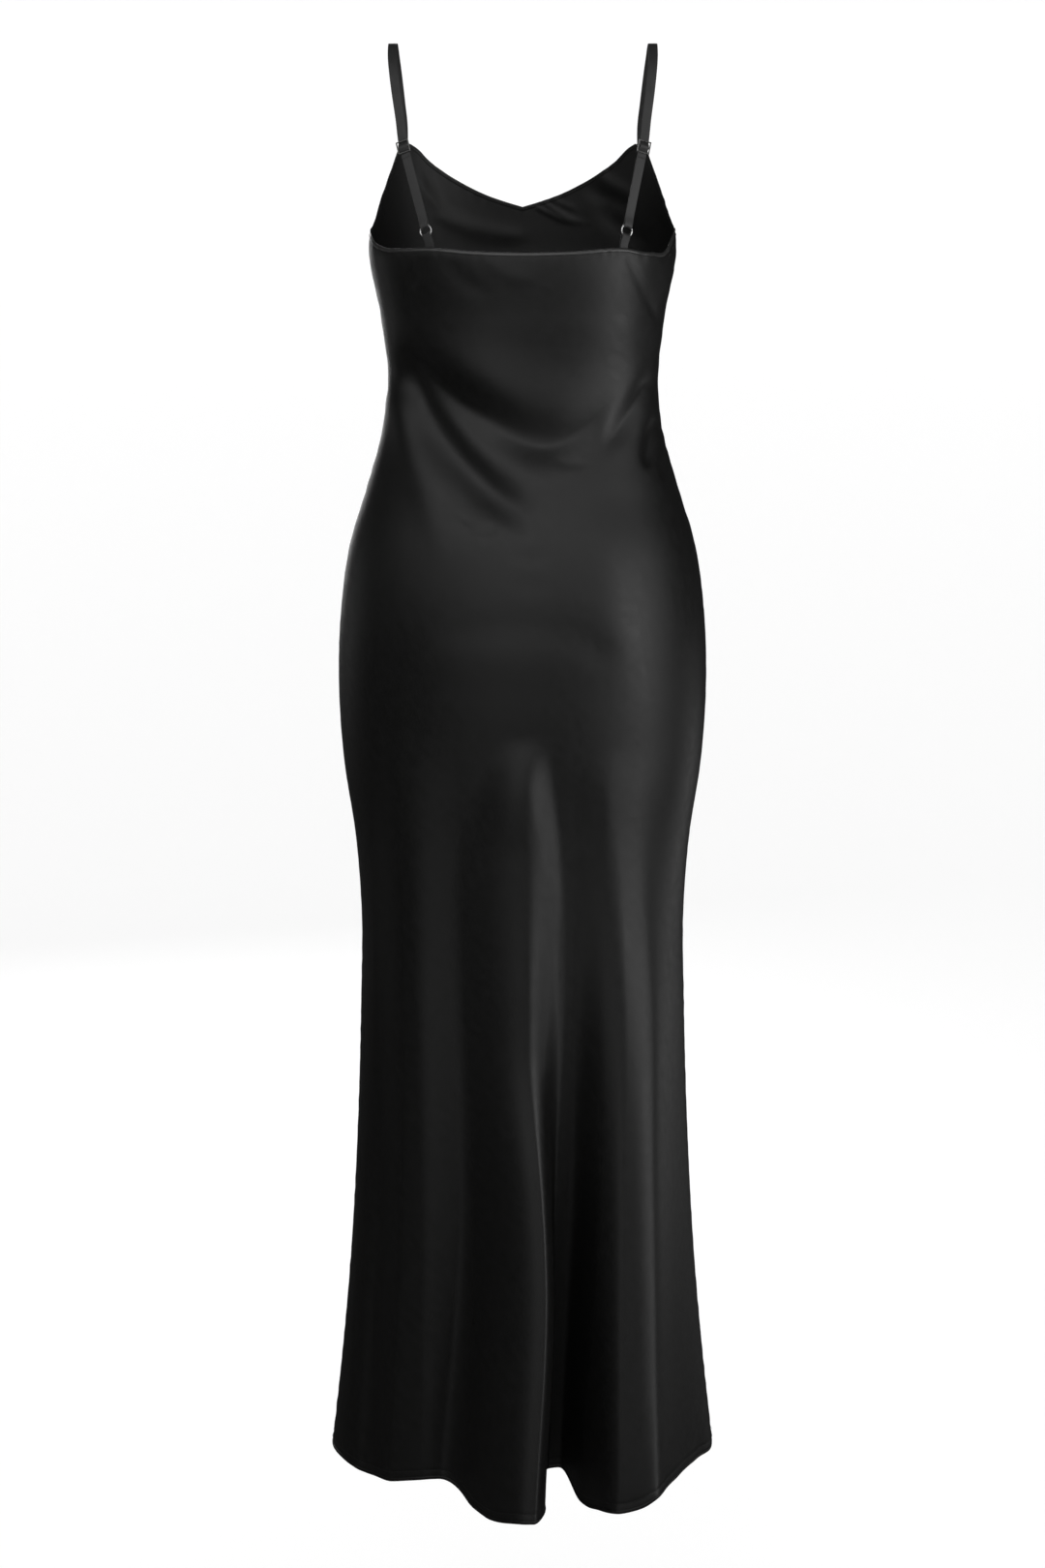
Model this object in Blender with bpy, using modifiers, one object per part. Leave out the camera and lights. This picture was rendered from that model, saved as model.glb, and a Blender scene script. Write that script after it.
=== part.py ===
"""Slip dress, cut on the bias.

A front with a V neck, a back cut nearly straight across, and two adjustable straps.
Each strap is sewn to a point of the front, runs over the shoulder, through a slider,
round a ring and back up to the slider. A tab holds each ring to the back neckline.

Metres, +Z up. The origin is midway between the two strap tops, where a wearer's
shoulders hold the dress. The front faces -Y, the back +Y, the wearer's left is +X.
A drop is a distance below the strap tops. Across is a distance from the centre line,
positive towards the wearer's left.
"""

import math
from collections import namedtuple
from functools import lru_cache

import bmesh
import bpy
import numpy as np
from mathutils import Matrix, Vector

MM = 0.001

# ---------------------------------------------------------------- driving sizes
CLOTH = 1.6 * MM            # wall of a panel
SEAM_HALF_GAP = 0.17 * MM   # each panel stops this far short of the side seam's plane
BUTT_GAP = 0.3 * MM         # between pieces that are sewn edge to edge or face to face
FACET_ROOM = 0.35 * MM      # a panel's flat facets cut this far inside its true curve
HEM_DROP = 1.361
SEAM_TOP_DROP = 0.168       # the side seams start here, under the arms
YOKE_DROP = 0.260           # below this level the rows of a panel run level
ROUNDNESS = 0.88            # 1 gives an elliptical section, less a squarer one

# The dress from above, one row for each level.
Section = namedtuple("Section", "drop half_width back_depth front_depth")
SECTIONS = (
    Section(0.0800, 0.1405, 0.0960, 0.1180),
    Section(0.1660, 0.1416, 0.1010, 0.1270),
    Section(0.1830, 0.1424, 0.1020, 0.1280),   # bust
    Section(0.2450, 0.1318, 0.0930, 0.1190),
    Section(0.3020, 0.1266, 0.0840, 0.1030),   # waist
    Section(0.3470, 0.1309, 0.0880, 0.0990),
    Section(0.4010, 0.1458, 0.1030, 0.1020),
    Section(0.4560, 0.1628, 0.1210, 0.1080),
    Section(0.5200, 0.1722, 0.1320, 0.1130),
    Section(0.5860, 0.1750, 0.1300, 0.1140),   # hip
    Section(0.6610, 0.1711, 0.1200, 0.1110),
    Section(0.7370, 0.1606, 0.1130, 0.1070),
    Section(0.8135, 0.1558, 0.1090, 0.1040),   # knee
    Section(0.9000, 0.1573, 0.1060, 0.1020),
    Section(1.0190, 0.1616, 0.1040, 0.1020),
    Section(1.1700, 0.1711, 0.1020, 0.1030),
    Section(1.2720, 0.1809, 0.1010, 0.1040),
    Section(1.3610, 0.1912, 0.1000, 0.1050),   # hem
)

# The skirt's flutes: across its foot and its top on each flank, and how far it stands
# out of the plain section (in, if negative), at a few levels each.
Flute = namedtuple("Flute", "drop left_foot left_top right_top right_foot depth")
BACK_FLUTES = {
    "side": (
        Flute(0.800, 0.158, 0.150, 0.147, 0.126, 0.000),
        Flute(1.100, 0.166, 0.160, 0.156, 0.134, 0.006),
        Flute(1.361, 0.190, 0.172, 0.165, 0.140, 0.010),
    ),
    "left": (
        Flute(0.700, 0.130, 0.101, 0.096, 0.060, 0.000),
        Flute(0.850, 0.133, 0.105, 0.098, 0.058, 0.006),
        Flute(1.050, 0.138, 0.110, 0.100, 0.060, 0.014),
        Flute(1.361, 0.160, 0.128, 0.112, 0.080, 0.024),
    ),
    "centre": (
        Flute(0.630, 0.040, 0.012, 0.002, -0.034, 0.000),
        Flute(0.800, 0.046, 0.010, -0.002, -0.034, 0.015),
        Flute(1.050, 0.060, 0.014, -0.003, -0.024, 0.054),
        Flute(1.361, 0.082, 0.038, -0.001, -0.022, 0.090),
    ),
    "recess": (
        Flute(0.850, -0.020, -0.031, -0.034, -0.060, 0.000),
        Flute(1.050, -0.017, -0.027, -0.033, -0.056, -0.012),
        Flute(1.361, -0.013, -0.025, -0.031, -0.046, -0.030),
    ),
    "right": (
        Flute(0.600, -0.050, -0.084, -0.090, -0.126, 0.000),
        Flute(0.800, -0.050, -0.086, -0.098, -0.142, 0.013),
        Flute(1.050, -0.036, -0.076, -0.110, -0.158, 0.042),
        Flute(1.361, -0.034, -0.060, -0.108, -0.168, 0.076),
    ),
}
FRONT_FLUTES = {
    "left": (
        Flute(0.640, 0.120, 0.088, 0.080, 0.044, 0.000),
        Flute(0.850, 0.126, 0.092, 0.080, 0.040, 0.014),
        Flute(1.361, 0.162, 0.118, 0.086, 0.040, 0.062),
    ),
    "centre": (
        Flute(0.720, 0.036, 0.010, 0.000, -0.032, 0.000),
        Flute(1.000, 0.036, 0.010, -0.004, -0.036, 0.016),
        Flute(1.361, 0.034, 0.010, -0.014, -0.050, 0.040),
    ),
    "right": (
        Flute(0.600, -0.052, -0.082, -0.092, -0.124, 0.000),
        Flute(0.850, -0.050, -0.084, -0.098, -0.138, 0.020),
        Flute(1.361, -0.052, -0.088, -0.120, -0.170, 0.072),
    ),
}

# The centre back flute rolls over the recess beside it. Its lip leans this far.
Lip = namedtuple("Lip", "drop lean")
LIP = (Lip(0.850, 0.000), Lip(1.000, 0.008), Lip(1.150, 0.016), Lip(1.361, 0.018))
LIP_FLAT_REACH = 0.030
LIP_WALL_REACH = 0.009
LIP_PEAK_SHARE = 0.30       # of the way down the flank from its top

# Soft creases: a route of (across, drop) points, half its width, and how far it stands
# out (in, if negative).
Crease = namedtuple("Crease", "name route reach depth")
BACK_CREASES = (
    Crease("roll over the waist",
           ((0.108, 0.264), (0.072, 0.276), (0.036, 0.294), (0.002, 0.316), (-0.030, 0.336),
            (-0.052, 0.322), (-0.076, 0.294), (-0.118, 0.254)), 0.016, 0.0040),
    Crease("swag below the roll",
           ((0.112, 0.276), (0.074, 0.302), (0.038, 0.326), (0.004, 0.348), (-0.030, 0.366),
            (-0.058, 0.352), (-0.082, 0.322), (-0.120, 0.272)), 0.013, -0.0065),
    Crease("ridge below the swag",
           ((0.108, 0.290), (0.078, 0.330), (0.044, 0.360), (0.014, 0.386), (-0.012, 0.404)),
           0.010, 0.0030),
    Crease("left drag",
           ((0.116, 0.300), (0.094, 0.352), (0.072, 0.377), (0.050, 0.396), (0.030, 0.410),
            (0.006, 0.430)), 0.013, -0.0060),
    Crease("right pocket", ((-0.116, 0.330), (-0.119, 0.372), (-0.124, 0.410)), 0.009, -0.0045),
)
FRONT_CREASES = (
    Crease("waist swag",
           ((0.104, 0.300), (0.050, 0.338), (0.002, 0.354), (-0.052, 0.334), (-0.104, 0.296)),
           0.016, -0.0055),
    Crease("left drag", ((0.112, 0.330), (0.076, 0.382), (0.030, 0.420)), 0.013, -0.0045),
    Crease("right drag", ((-0.110, 0.326), (-0.078, 0.372), (-0.040, 0.400)), 0.013, -0.0045),
)

# Top edges: drop of the edge at a distance across.
Edge = namedtuple("Edge", "across drop")
BACK_NECK = (
    Edge(-0.1416, 0.1680), Edge(-0.1396, 0.1690), Edge(-0.1366, 0.1730), Edge(-0.1310, 0.1835),
    Edge(-0.1160, 0.1868), Edge(-0.0910, 0.1832), Edge(-0.0450, 0.1862), Edge(0.0000, 0.1873),
    Edge(0.0450, 0.1860), Edge(0.0830, 0.1830), Edge(0.1070, 0.1833), Edge(0.1260, 0.1820),
    Edge(0.1350, 0.1770), Edge(0.1395, 0.1710), Edge(0.1416, 0.1680),
)
FRONT_NECK = (
    Edge(0.0000, 0.1436), Edge(0.0186, 0.1381), Edge(0.0342, 0.1327), Edge(0.0574, 0.1219),
    Edge(0.0760, 0.1111), Edge(0.0905, 0.1005), Edge(0.1013, 0.0898), Edge(0.1080, 0.0856),
)
ARMHOLE = (
    Edge(0.1168, 0.0856), Edge(0.1195, 0.0950), Edge(0.1234, 0.1075), Edge(0.1270, 0.1180),
    Edge(0.1303, 0.1288), Edge(0.1338, 0.1396), Edge(0.1369, 0.1504), Edge(0.1396, 0.1610),
    Edge(0.1416, 0.1680),
)
EDGE_LEVEL = 0.120          # the section on which those distances across are read

# Rows of a panel's mesh, as zones of even rows.
Zone = namedtuple("Zone", "top bottom rows")
BACK_ZONES = (Zone(0.186, YOKE_DROP, 4), Zone(YOKE_DROP, 0.440, 12), Zone(0.440, 0.760, 8),
              Zone(0.760, HEM_DROP, 12))
FRONT_ZONES = (Zone(SEAM_TOP_DROP, YOKE_DROP, 5), Zone(YOKE_DROP, 0.440, 8),
               Zone(0.440, 0.760, 6), Zone(0.760, HEM_DROP, 11))
SEAM_COLUMN = 0.006         # share of a panel's width in the narrow column at each seam
BACK_COLUMNS = 38           # between those two
FRONT_NECK_COLUMNS = 9      # from the centre to a strap point
FRONT_ARM_COLUMNS = 4       # from a strap point to the narrow column
BEND_WEIGHT = 0.012         # metres of column spacing that a full radian of bend counts for
SECTION_POINTS = 1441

# ---------------------------------------------------------------- straps
STRAP_WIDTH = 8.6 * MM
STRAP_WIDTH_AT_RING = 8.0 * MM
STRAP_WALL = 1.0 * MM
STRAP_CELLS = 3             # faces across a strap

# Positions across, for each side.
StrapSide = namedtuple("StrapSide", "name side top slider ring tab")
STRAP_SIDES = (
    StrapSide("left", 1, 0.1185, 0.1070, 0.0870, 0.0834),
    StrapSide("right", -1, 0.1190, 0.1090, 0.0939, 0.0911),
)
# The strap's route over the shoulder: y, and the share of the way in from the strap
# top's distance across to the strap point's (front) or the slider's (back).
Route = namedtuple("Route", "drop y share_in turn")
FRONT_ROUTE = (Route(0.0500, -0.0590, 0.67, -30.0), Route(0.0120, -0.0290, 0.13, -8.0))
BACK_ROUTE = (Route(0.0125, 0.0200, 0.03, 3.0), Route(0.0420, 0.0380, 0.34, 11.0),
              Route(0.0680, 0.0480, 0.69, 17.0))
SLIDER_DROP = 0.0935
SLIDER_Y = 0.0565
SLIDER_TURN = 21.0          # degrees about the vertical
RING_DROP = 0.1675
RING_IN_FRONT_OF_EDGE = 3.2 * MM

# slider: a frame with a centre bar, sizes in its own plane
SLIDER_HALF_WIDTH = 6.2 * MM
SLIDER_HALF_HEIGHT = 5.8 * MM
SLIDER_SIDE_BAR = 1.2 * MM
SLIDER_END_BAR = 1.1 * MM
SLIDER_CENTRE_HALF_BAR = 0.6 * MM
SLIDER_WALL = 1.0 * MM
SLIDER_BEHIND = 0.9 * MM    # from the strap's middle to the frame's rear face
SLIDER_ROUNDING = 0.25 * MM
WEAVE_REACH = 5.2 * MM      # the strap climbs over the centre bar within this length
WEAVE_HEIGHT = 2.9 * MM

# ring and the strap's turn round it
RING_RADIUS = 5.4 * MM
RING_WIRE = 0.7 * MM
TURN_OUT = 1.55 * MM        # strap's middle to the wire's middle, out of the ring's plane
TURN_ALONG = 2.0 * MM       # the same, in the ring's plane
TURN_ZONE = 9.0 * MM        # the strap closes up again within this length of the ring
LAYER_STEP = 1.35 * MM      # between the middles of two strap layers
TAB_HALF_STEP = 0.7 * MM
TAB_TUCK = 9.0 * MM         # of tab below the back neckline, inside the panel
TAB_STRAIGHT = 3.0 * MM     # the tab stands straight this far above the neckline
START_RISE = 8.0 * MM       # the strap leaves the front in the front's own plane for this far

FRONT, BACK = -1, 1


# ---------------------------------------------------------------- curves and tables
def smooth(places, values, at):
    """Read a table along a smooth curve through its rows, held level past its ends."""
    places, values = np.asarray(places, float), np.asarray(values, float)
    at = np.clip(at, places[0], places[-1])
    slopes = np.gradient(values, places)
    row = np.clip(np.searchsorted(places, at, side="right") - 1, 0, len(places) - 2)
    step = places[row + 1] - places[row]
    t = (at - places[row]) / step
    start = (1 + 2 * t) * (1 - t) ** 2 * values[row] + t * (1 - t) ** 2 * step * slopes[row]
    end = t * t * (3 - 2 * t) * values[row + 1] + t * t * (t - 1) * step * slopes[row + 1]
    return start + end


def table_at(rows, at):
    """All columns of a table at one place in its first column."""
    columns = list(zip(*rows))
    return type(rows[0])(at, *(float(smooth(columns[0], column, at)) for column in columns[1:]))


def ramp(x, low, high):
    """An S-shaped rise from 0 at low to 1 at high."""
    t = np.clip((x - low) / (high - low), 0.0, 1.0)
    return t * t * (3 - 2 * t)


def running_length(points):
    """Length along a polyline up to each of its points."""
    return np.concatenate([[0.0], np.cumsum(np.linalg.norm(np.diff(points, axis=0), axis=1))])


# ---------------------------------------------------------------- the cloth's form
def flute_offset(flutes, across, drop):
    """How far the skirt's flutes stand out of the plain section."""
    offset = np.zeros_like(across)
    for rows in flutes.values():
        flute = table_at(rows, drop)
        if drop > rows[0].drop:
            flanks = ramp(across, flute.left_foot, flute.left_top)
            flanks = flanks * ramp(across, flute.right_foot, flute.right_top)
            offset += flute.depth * flanks
    return offset


def lip_shift(across, drop):
    """Sideways lean of the centre back flute over the recess beside it."""
    lean = max(0.0, table_at(LIP, drop).lean)
    flute = table_at(BACK_FLUTES["centre"], drop)
    peak = flute.right_top + LIP_PEAK_SHARE * (flute.right_foot - flute.right_top)
    reach = np.where(across > peak, LIP_FLAT_REACH, LIP_WALL_REACH)
    return -lean * np.exp(-(((across - peak) / reach) ** 2))


@lru_cache(maxsize=None)
def crease_line(crease):
    """A crease's route as a fine polyline."""
    route = np.array(crease.route)
    chord = running_length(route)
    fine = np.linspace(0.0, chord[-1], 60)
    return np.stack([smooth(chord, route[:, k], fine) for k in (0, 1)], axis=1)


def crease_offset(creases, across, drop):
    """How far the soft creases stand out: each is a line of soft dabs, side by side, that
    grow fainter towards its two ends."""
    offset = np.zeros_like(across)
    for crease in creases:
        line = crease_line(crease)
        along = running_length(line)
        fade = ramp(along / along[-1], 0.0, 0.3) * ramp(along / along[-1], 1.0, 0.7)
        dab = fade * np.gradient(along) / (crease.reach * math.sqrt(math.pi))
        gap = np.hypot(across[:, None] - line[None, :, 0], drop - line[None, :, 1])
        offset += crease.depth * (np.exp(-((gap / crease.reach) ** 2)) @ dab)
    return offset


@lru_cache(maxsize=None)
def section_curve(side, drop):
    """One panel's section: points (across, y) from the left side seam to the right one,
    and the share of the panel's width at each, with bends counted as extra width."""
    level = table_at(SECTIONS, drop)
    angle = np.linspace(math.pi / 2, -math.pi / 2, SECTION_POINTS)
    across = level.half_width * np.sin(angle)
    plain_depth = level.back_depth if side == BACK else level.front_depth
    out = plain_depth * np.clip(np.cos(angle), 0.0, None) ** ROUNDNESS
    outward = np.stack([np.gradient(out), -np.gradient(across)], axis=1)
    outward /= np.linalg.norm(outward, axis=1)[:, None]
    flutes, creases = (BACK_FLUTES, BACK_CREASES) if side == BACK else (FRONT_FLUTES, FRONT_CREASES)
    crease = crease_offset(creases, across, drop)
    lean = lip_shift(across, drop) if side == BACK else 0.0
    points = np.stack([
        across + lean + crease * outward[:, 0],
        out + flute_offset(flutes, across, drop) + crease * outward[:, 1],
    ], axis=1)
    points[:, 1] = side * (points[:, 1] + SEAM_HALF_GAP)
    heading = np.unwrap(np.arctan2(*np.gradient(points, axis=0).T))
    width = running_length(points)
    width += BEND_WEIGHT * np.concatenate([[0.0], np.cumsum(np.abs(np.diff(heading)))])
    return points, width / width[-1]


def panel_point(side, share, drop):
    """A point of a panel's outer face, at a share of its width from the left seam."""
    points, shares = section_curve(side, round(float(drop), 6))
    across = np.interp(share, shares, points[:, 0])
    y = np.interp(share, shares, points[:, 1])
    return Vector((across, y, -drop))


def share_at(side, across):
    """The share of a panel's width that lies at a distance across, near the top edge."""
    points, shares = section_curve(side, EDGE_LEVEL)
    return float(np.interp(-across, -points[:, 0], shares))


def across_at(side, share):
    """The reverse of share_at."""
    points, shares = section_curve(side, EDGE_LEVEL)
    return float(np.interp(share, shares, points[:, 0]))


def back_top(share):
    """Drop of the back's top edge."""
    across = [edge.across for edge in BACK_NECK]
    return float(smooth(across, [edge.drop for edge in BACK_NECK], across_at(BACK, share)))


def front_top(share):
    """Drop of the front's top edge: the V neck, a strap point's flat top, the armhole."""
    across = abs(across_at(FRONT, share))
    rows = FRONT_NECK if across <= FRONT_NECK[-1].across else ARMHOLE
    return float(smooth([edge.across for edge in rows], [edge.drop for edge in rows], across))


def row_levels(zones):
    """Level of each row of a panel's mesh, top to hem."""
    levels = [zones[0].top]
    for zone in zones:
        steps = np.arange(1, zone.rows + 1) / zone.rows
        levels.extend(zone.top + (zone.bottom - zone.top) * steps)
    return levels


def panel_drop(level, top_level, top_drop):
    """Drop at a row's level, where the panel's own top edge is higher or lower."""
    if level >= YOKE_DROP:
        return level
    fade = (YOKE_DROP - level) / (YOKE_DROP - top_level)
    return level + (top_drop - top_level) * fade


# ---------------------------------------------------------------- making objects
def clear_scene():
    for old in list(bpy.data.objects):
        bpy.data.objects.remove(old, do_unlink=True)


def make_material(name, colour, roughness, metallic):
    material = bpy.data.materials.new(name)
    material.use_nodes = True
    shader = material.node_tree.nodes["Principled BSDF"]
    shader.inputs["Base Color"].default_value = (*colour, 1.0)
    shader.inputs["Roughness"].default_value = roughness
    shader.inputs["Metallic"].default_value = metallic
    return material


def sheet_object(name, rows, columns, place, wall, offset, material, collection):
    """A sheet of rows x columns faces, each corner put where place(row, column) says,
    given its wall by Solidify."""
    bm = bmesh.new()
    bmesh.ops.create_grid(bm, x_segments=columns, y_segments=rows, size=0.5)
    for vert in bm.verts:
        column = round((vert.co.x + 0.5) * columns)
        row = round((0.5 - vert.co.y) * rows)
        vert.co = place(row, column)
    mesh = bpy.data.meshes.new(name)
    bm.to_mesh(mesh)
    bm.free()
    mesh.shade_smooth()
    mesh.set_sharp_from_angle(angle=math.radians(60))
    mesh.materials.append(material)
    piece = bpy.data.objects.new(name, mesh)
    collection.objects.link(piece)
    walls = piece.modifiers.new("wall", "SOLIDIFY")
    walls.thickness = wall
    walls.offset = offset
    return piece


def back_shares():
    """Shares of the back's width at its mesh columns."""
    between = np.linspace(SEAM_COLUMN, 1.0 - SEAM_COLUMN, BACK_COLUMNS + 1)
    return np.concatenate([[0.0], between, [1.0]])


def make_back(material, collection):
    levels = row_levels(BACK_ZONES)
    shares = back_shares()

    def place(row, column):
        share = shares[column]
        return panel_point(BACK, share, panel_drop(levels[row], levels[0], back_top(share)))

    sheet_object("back_panel", len(levels) - 1, len(shares) - 1, place, CLOTH, -1, material,
                 collection)


def front_shares():
    """Shares of the front's width at its mesh columns. The corners of both strap points
    fall on a column."""
    inner, outer = FRONT_NECK[-1].across, ARMHOLE[0].across
    neck = [share_at(FRONT, inner), share_at(FRONT, 0.0), share_at(FRONT, -inner)]
    arms = share_at(FRONT, outer), share_at(FRONT, -outer)
    return np.concatenate([
        [0.0],
        np.linspace(SEAM_COLUMN, arms[0], FRONT_ARM_COLUMNS + 1),
        np.linspace(neck[0], neck[1], FRONT_NECK_COLUMNS + 1),
        np.linspace(neck[1], neck[2], FRONT_NECK_COLUMNS + 1)[1:],
        np.linspace(arms[1], 1.0 - SEAM_COLUMN, FRONT_ARM_COLUMNS + 1),
        [1.0],
    ])


def make_front(material, collection):
    levels = row_levels(FRONT_ZONES)
    shares = front_shares()
    columns = len(shares) - 1

    def place(row, column):
        share = shares[columns - column]    # right seam first, so that the face looks out
        return panel_point(FRONT, share, panel_drop(levels[row], levels[0], front_top(share)))

    sheet_object("front_panel", len(levels) - 1, columns, place, CLOTH, -1, material, collection)


# ---------------------------------------------------------------- straps
class StrapLine:
    """The line that a strap, its ring and its tab lie on, from the front's strap point
    to the tab's end inside the back. It reads a frame at any length along the line."""

    def __init__(self, row):
        self.row = row
        inner, outer = FRONT_NECK[-1].across, ARMHOLE[0].across
        point_drop = FRONT_NECK[-1].drop
        corners = [panel_point(FRONT, share_at(FRONT, row.side * x), point_drop)
                   for x in (inner, outer)]
        start = (corners[0] + corners[1]) / 2
        start_turn = self.turn_of(corners[1] - corners[0])
        start += Vector((0.0, CLOTH / 2, 0.0))
        below = [panel_point(FRONT, share_at(FRONT, row.side * x), point_drop + START_RISE)
                 for x in (inner, outer)]
        rise = (corners[0] + corners[1] - below[0] - below[1]) / 2

        tab_share = share_at(BACK, row.side * row.tab)
        edge_drop = back_top(tab_share)
        beside = [panel_point(BACK, tab_share + step, edge_drop) for step in (-0.01, 0.01)]
        tab_turn = self.turn_of((beside[0] - beside[1]) * row.side)
        inward = Vector((-row.side * math.sin(math.radians(tab_turn)),
                         -math.cos(math.radians(tab_turn)), 0.0))
        depth = CLOTH + FACET_ROOM + BUTT_GAP + TAB_HALF_STEP + STRAP_WALL / 2
        edge = panel_point(BACK, tab_share, edge_drop) + inward * depth
        tuck = panel_point(BACK, tab_share, edge_drop + TAB_TUCK) + inward * depth
        above = edge + (edge - tuck).normalized() * TAB_STRAIGHT

        top = Vector((row.side * row.top, 0.0, STRAP_WALL / 2))
        slider = Vector((row.side * row.slider, SLIDER_Y, -SLIDER_DROP))
        ring = Vector((row.side * row.ring, edge.y - RING_IN_FRONT_OF_EDGE, -RING_DROP))
        down = (ring - slider).normalized()

        points, turns = [start, start + rise], [start_turn, start_turn]
        for route in FRONT_ROUTE:
            x = row.side * row.top + (start.x - row.side * row.top) * route.share_in
            points.append(Vector((x, route.y, -route.drop)))
            turns.append(route.turn)
        points.append(top)
        turns.append(0.0)
        for route in BACK_ROUTE:
            x = row.side * (row.top + (row.slider - row.top) * route.share_in)
            points.append(Vector((x, route.y, -route.drop)))
            turns.append(route.turn)
        points += [slider, slider + down * WEAVE_REACH, ring - down * TURN_ZONE, ring,
                   ring + down * RING_RADIUS, above, edge, tuck]
        turns += [SLIDER_TURN] * 2 + [tab_turn] * 6

        coarse = np.array([tuple(point) for point in points])
        chord = running_length(coarse)
        fine = np.linspace(0.0, chord[-1], 900)
        self.line = np.stack([smooth(chord, coarse[:, k], fine) for k in range(3)], axis=1)
        self.length = running_length(self.line)
        self.turn = smooth(chord, turns, fine)
        self.slider_at = self.place_of(slider)
        self.ring_at = self.place_of(ring)
        self.edge_at = self.place_of(edge)
        self.end_at = self.length[-1]

    def turn_of(self, outward_along_width):
        """Degrees that a direction across the strap is turned from X, seen from above."""
        v = outward_along_width * self.row.side
        return math.degrees(math.atan2(-v.y * self.row.side, v.x))

    def place_of(self, point):
        gaps = np.linalg.norm(self.line - np.array(point), axis=1)
        return float(self.length[gaps.argmin()])

    def frame(self, at):
        """Position, and the directions along the strap, across it and out of it."""
        here = Vector([np.interp(at, self.length, self.line[:, k]) for k in range(3)])
        ends = [Vector([np.interp(place, self.length, self.line[:, k]) for k in range(3)])
                for place in (max(0.0, at - MM), min(self.end_at, at + MM))]
        along = (ends[1] - ends[0]).normalized()
        turn = math.radians(float(np.interp(at, self.length, self.turn)))
        across = Vector((math.cos(turn), -self.row.side * math.sin(turn), 0.0))
        out = across.cross(along).normalized()
        square = along.cross(out).normalized()
        level_edge = 1.0 - float(ramp(at, 0.0, START_RISE))
        across = across.lerp(square, 1.0 - level_edge)
        return here, along, across, out


def ring_arch(offset):
    """How far the ring's wire falls back from its nearest point, at an offset across."""
    return RING_RADIUS - math.sqrt(RING_RADIUS ** 2 - offset ** 2)


Station = namedtuple("Station", "at out arch width")


def weave(step):
    """Height of the strap over the slider's centre bar, at a step from the bar."""
    return WEAVE_HEIGHT * (1 + math.cos(math.pi * min(1.0, abs(step) / WEAVE_REACH))) / 2


def strap_stations(line):
    """The strap from the front's strap point to its end behind the slider."""
    slider, wire = line.slider_at, line.ring_at - RING_RADIUS
    stations = [Station(at, 0.0, 0.0, STRAP_WIDTH)
                for at in np.linspace(BUTT_GAP, slider - 1.25 * WEAVE_REACH, 18)]
    for step in np.linspace(-1.0, 1.0, 13) * WEAVE_REACH:
        stations.append(Station(slider + step, weave(step), 0.0, STRAP_WIDTH))
    for at in np.linspace(slider + 2 * WEAVE_REACH, wire - TURN_ZONE, 3):
        stations.append(Station(at, 0.0, 0.0, STRAP_WIDTH))
    for share in (0.35, 0.7, 1.0):
        close = float(ramp(share, 0.0, 1.0))
        width = STRAP_WIDTH + (STRAP_WIDTH_AT_RING - STRAP_WIDTH) * close
        stations.append(Station(wire - TURN_ZONE * (1 - share), TURN_OUT * close, close, width))
    for angle in np.linspace(0.0, math.pi, 9)[1:]:
        stations.append(Station(wire + TURN_ALONG * math.sin(angle), TURN_OUT * math.cos(angle),
                                1.0, STRAP_WIDTH_AT_RING))
    for share in (0.7, 0.35, 0.0):
        close = float(ramp(share, 0.0, 1.0))
        out = -LAYER_STEP + (LAYER_STEP - TURN_OUT) * close
        stations.append(Station(wire - TURN_ZONE * (1 - share), out, close, STRAP_WIDTH_AT_RING))
    for at in np.linspace(wire - TURN_ZONE, slider + 1.3 * WEAVE_REACH, 4)[1:]:
        stations.append(Station(at, -LAYER_STEP, 0.0, STRAP_WIDTH_AT_RING))
    for share in (0.9, 0.75, 0.6, 0.4, 0.15):
        rise = float(ramp(share, 0.95, 0.2))
        stations.append(Station(slider + share * WEAVE_REACH, -LAYER_STEP * (1 - rise), 0.0,
                                STRAP_WIDTH_AT_RING))
    return stations


def tab_stations(line):
    """The tab from its outer leg's end inside the back, round the ring, and down again."""
    wire = line.ring_at + RING_RADIUS
    leg = [Station(line.end_at, TAB_HALF_STEP, 0.0, STRAP_WIDTH_AT_RING),
           Station(line.edge_at, TAB_HALF_STEP, 0.0, STRAP_WIDTH_AT_RING),
           Station(wire + 0.5 * (line.edge_at - wire), (TAB_HALF_STEP + TURN_OUT) / 2, -0.5,
                   STRAP_WIDTH_AT_RING),
           Station(wire, TURN_OUT, -1.0, STRAP_WIDTH_AT_RING)]
    turn = [Station(wire - TURN_ALONG * math.sin(angle), TURN_OUT * math.cos(angle), -1.0,
                    STRAP_WIDTH_AT_RING) for angle in np.linspace(0.0, math.pi, 9)[1:-1]]
    back = [station._replace(out=-station.out) for station in reversed(leg)]
    return leg + turn + back


def band_object(name, line, stations, material, collection):
    """A strap or tab: a band through its stations, of STRAP_WALL thickness."""

    def place(row, column):
        station = stations[row]
        offset = (column / STRAP_CELLS - 0.5) * station.width
        here, _, across, out = line.frame(station.at + station.arch * ring_arch(offset))
        return here + across * offset + out * station.out

    sheet_object(name, len(stations) - 1, STRAP_CELLS, place, STRAP_WALL, 0, material, collection)


# ---------------------------------------------------------------- hardware
def frame_matrix(line, at, out_offset):
    """A matrix that lays X across the strap, Y up it and Z out of it."""
    here, along, across, out = line.frame(at)
    turn = Matrix((across, -along, out)).transposed()
    return Matrix.Translation(here + out * out_offset) @ turn.to_4x4()


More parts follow.
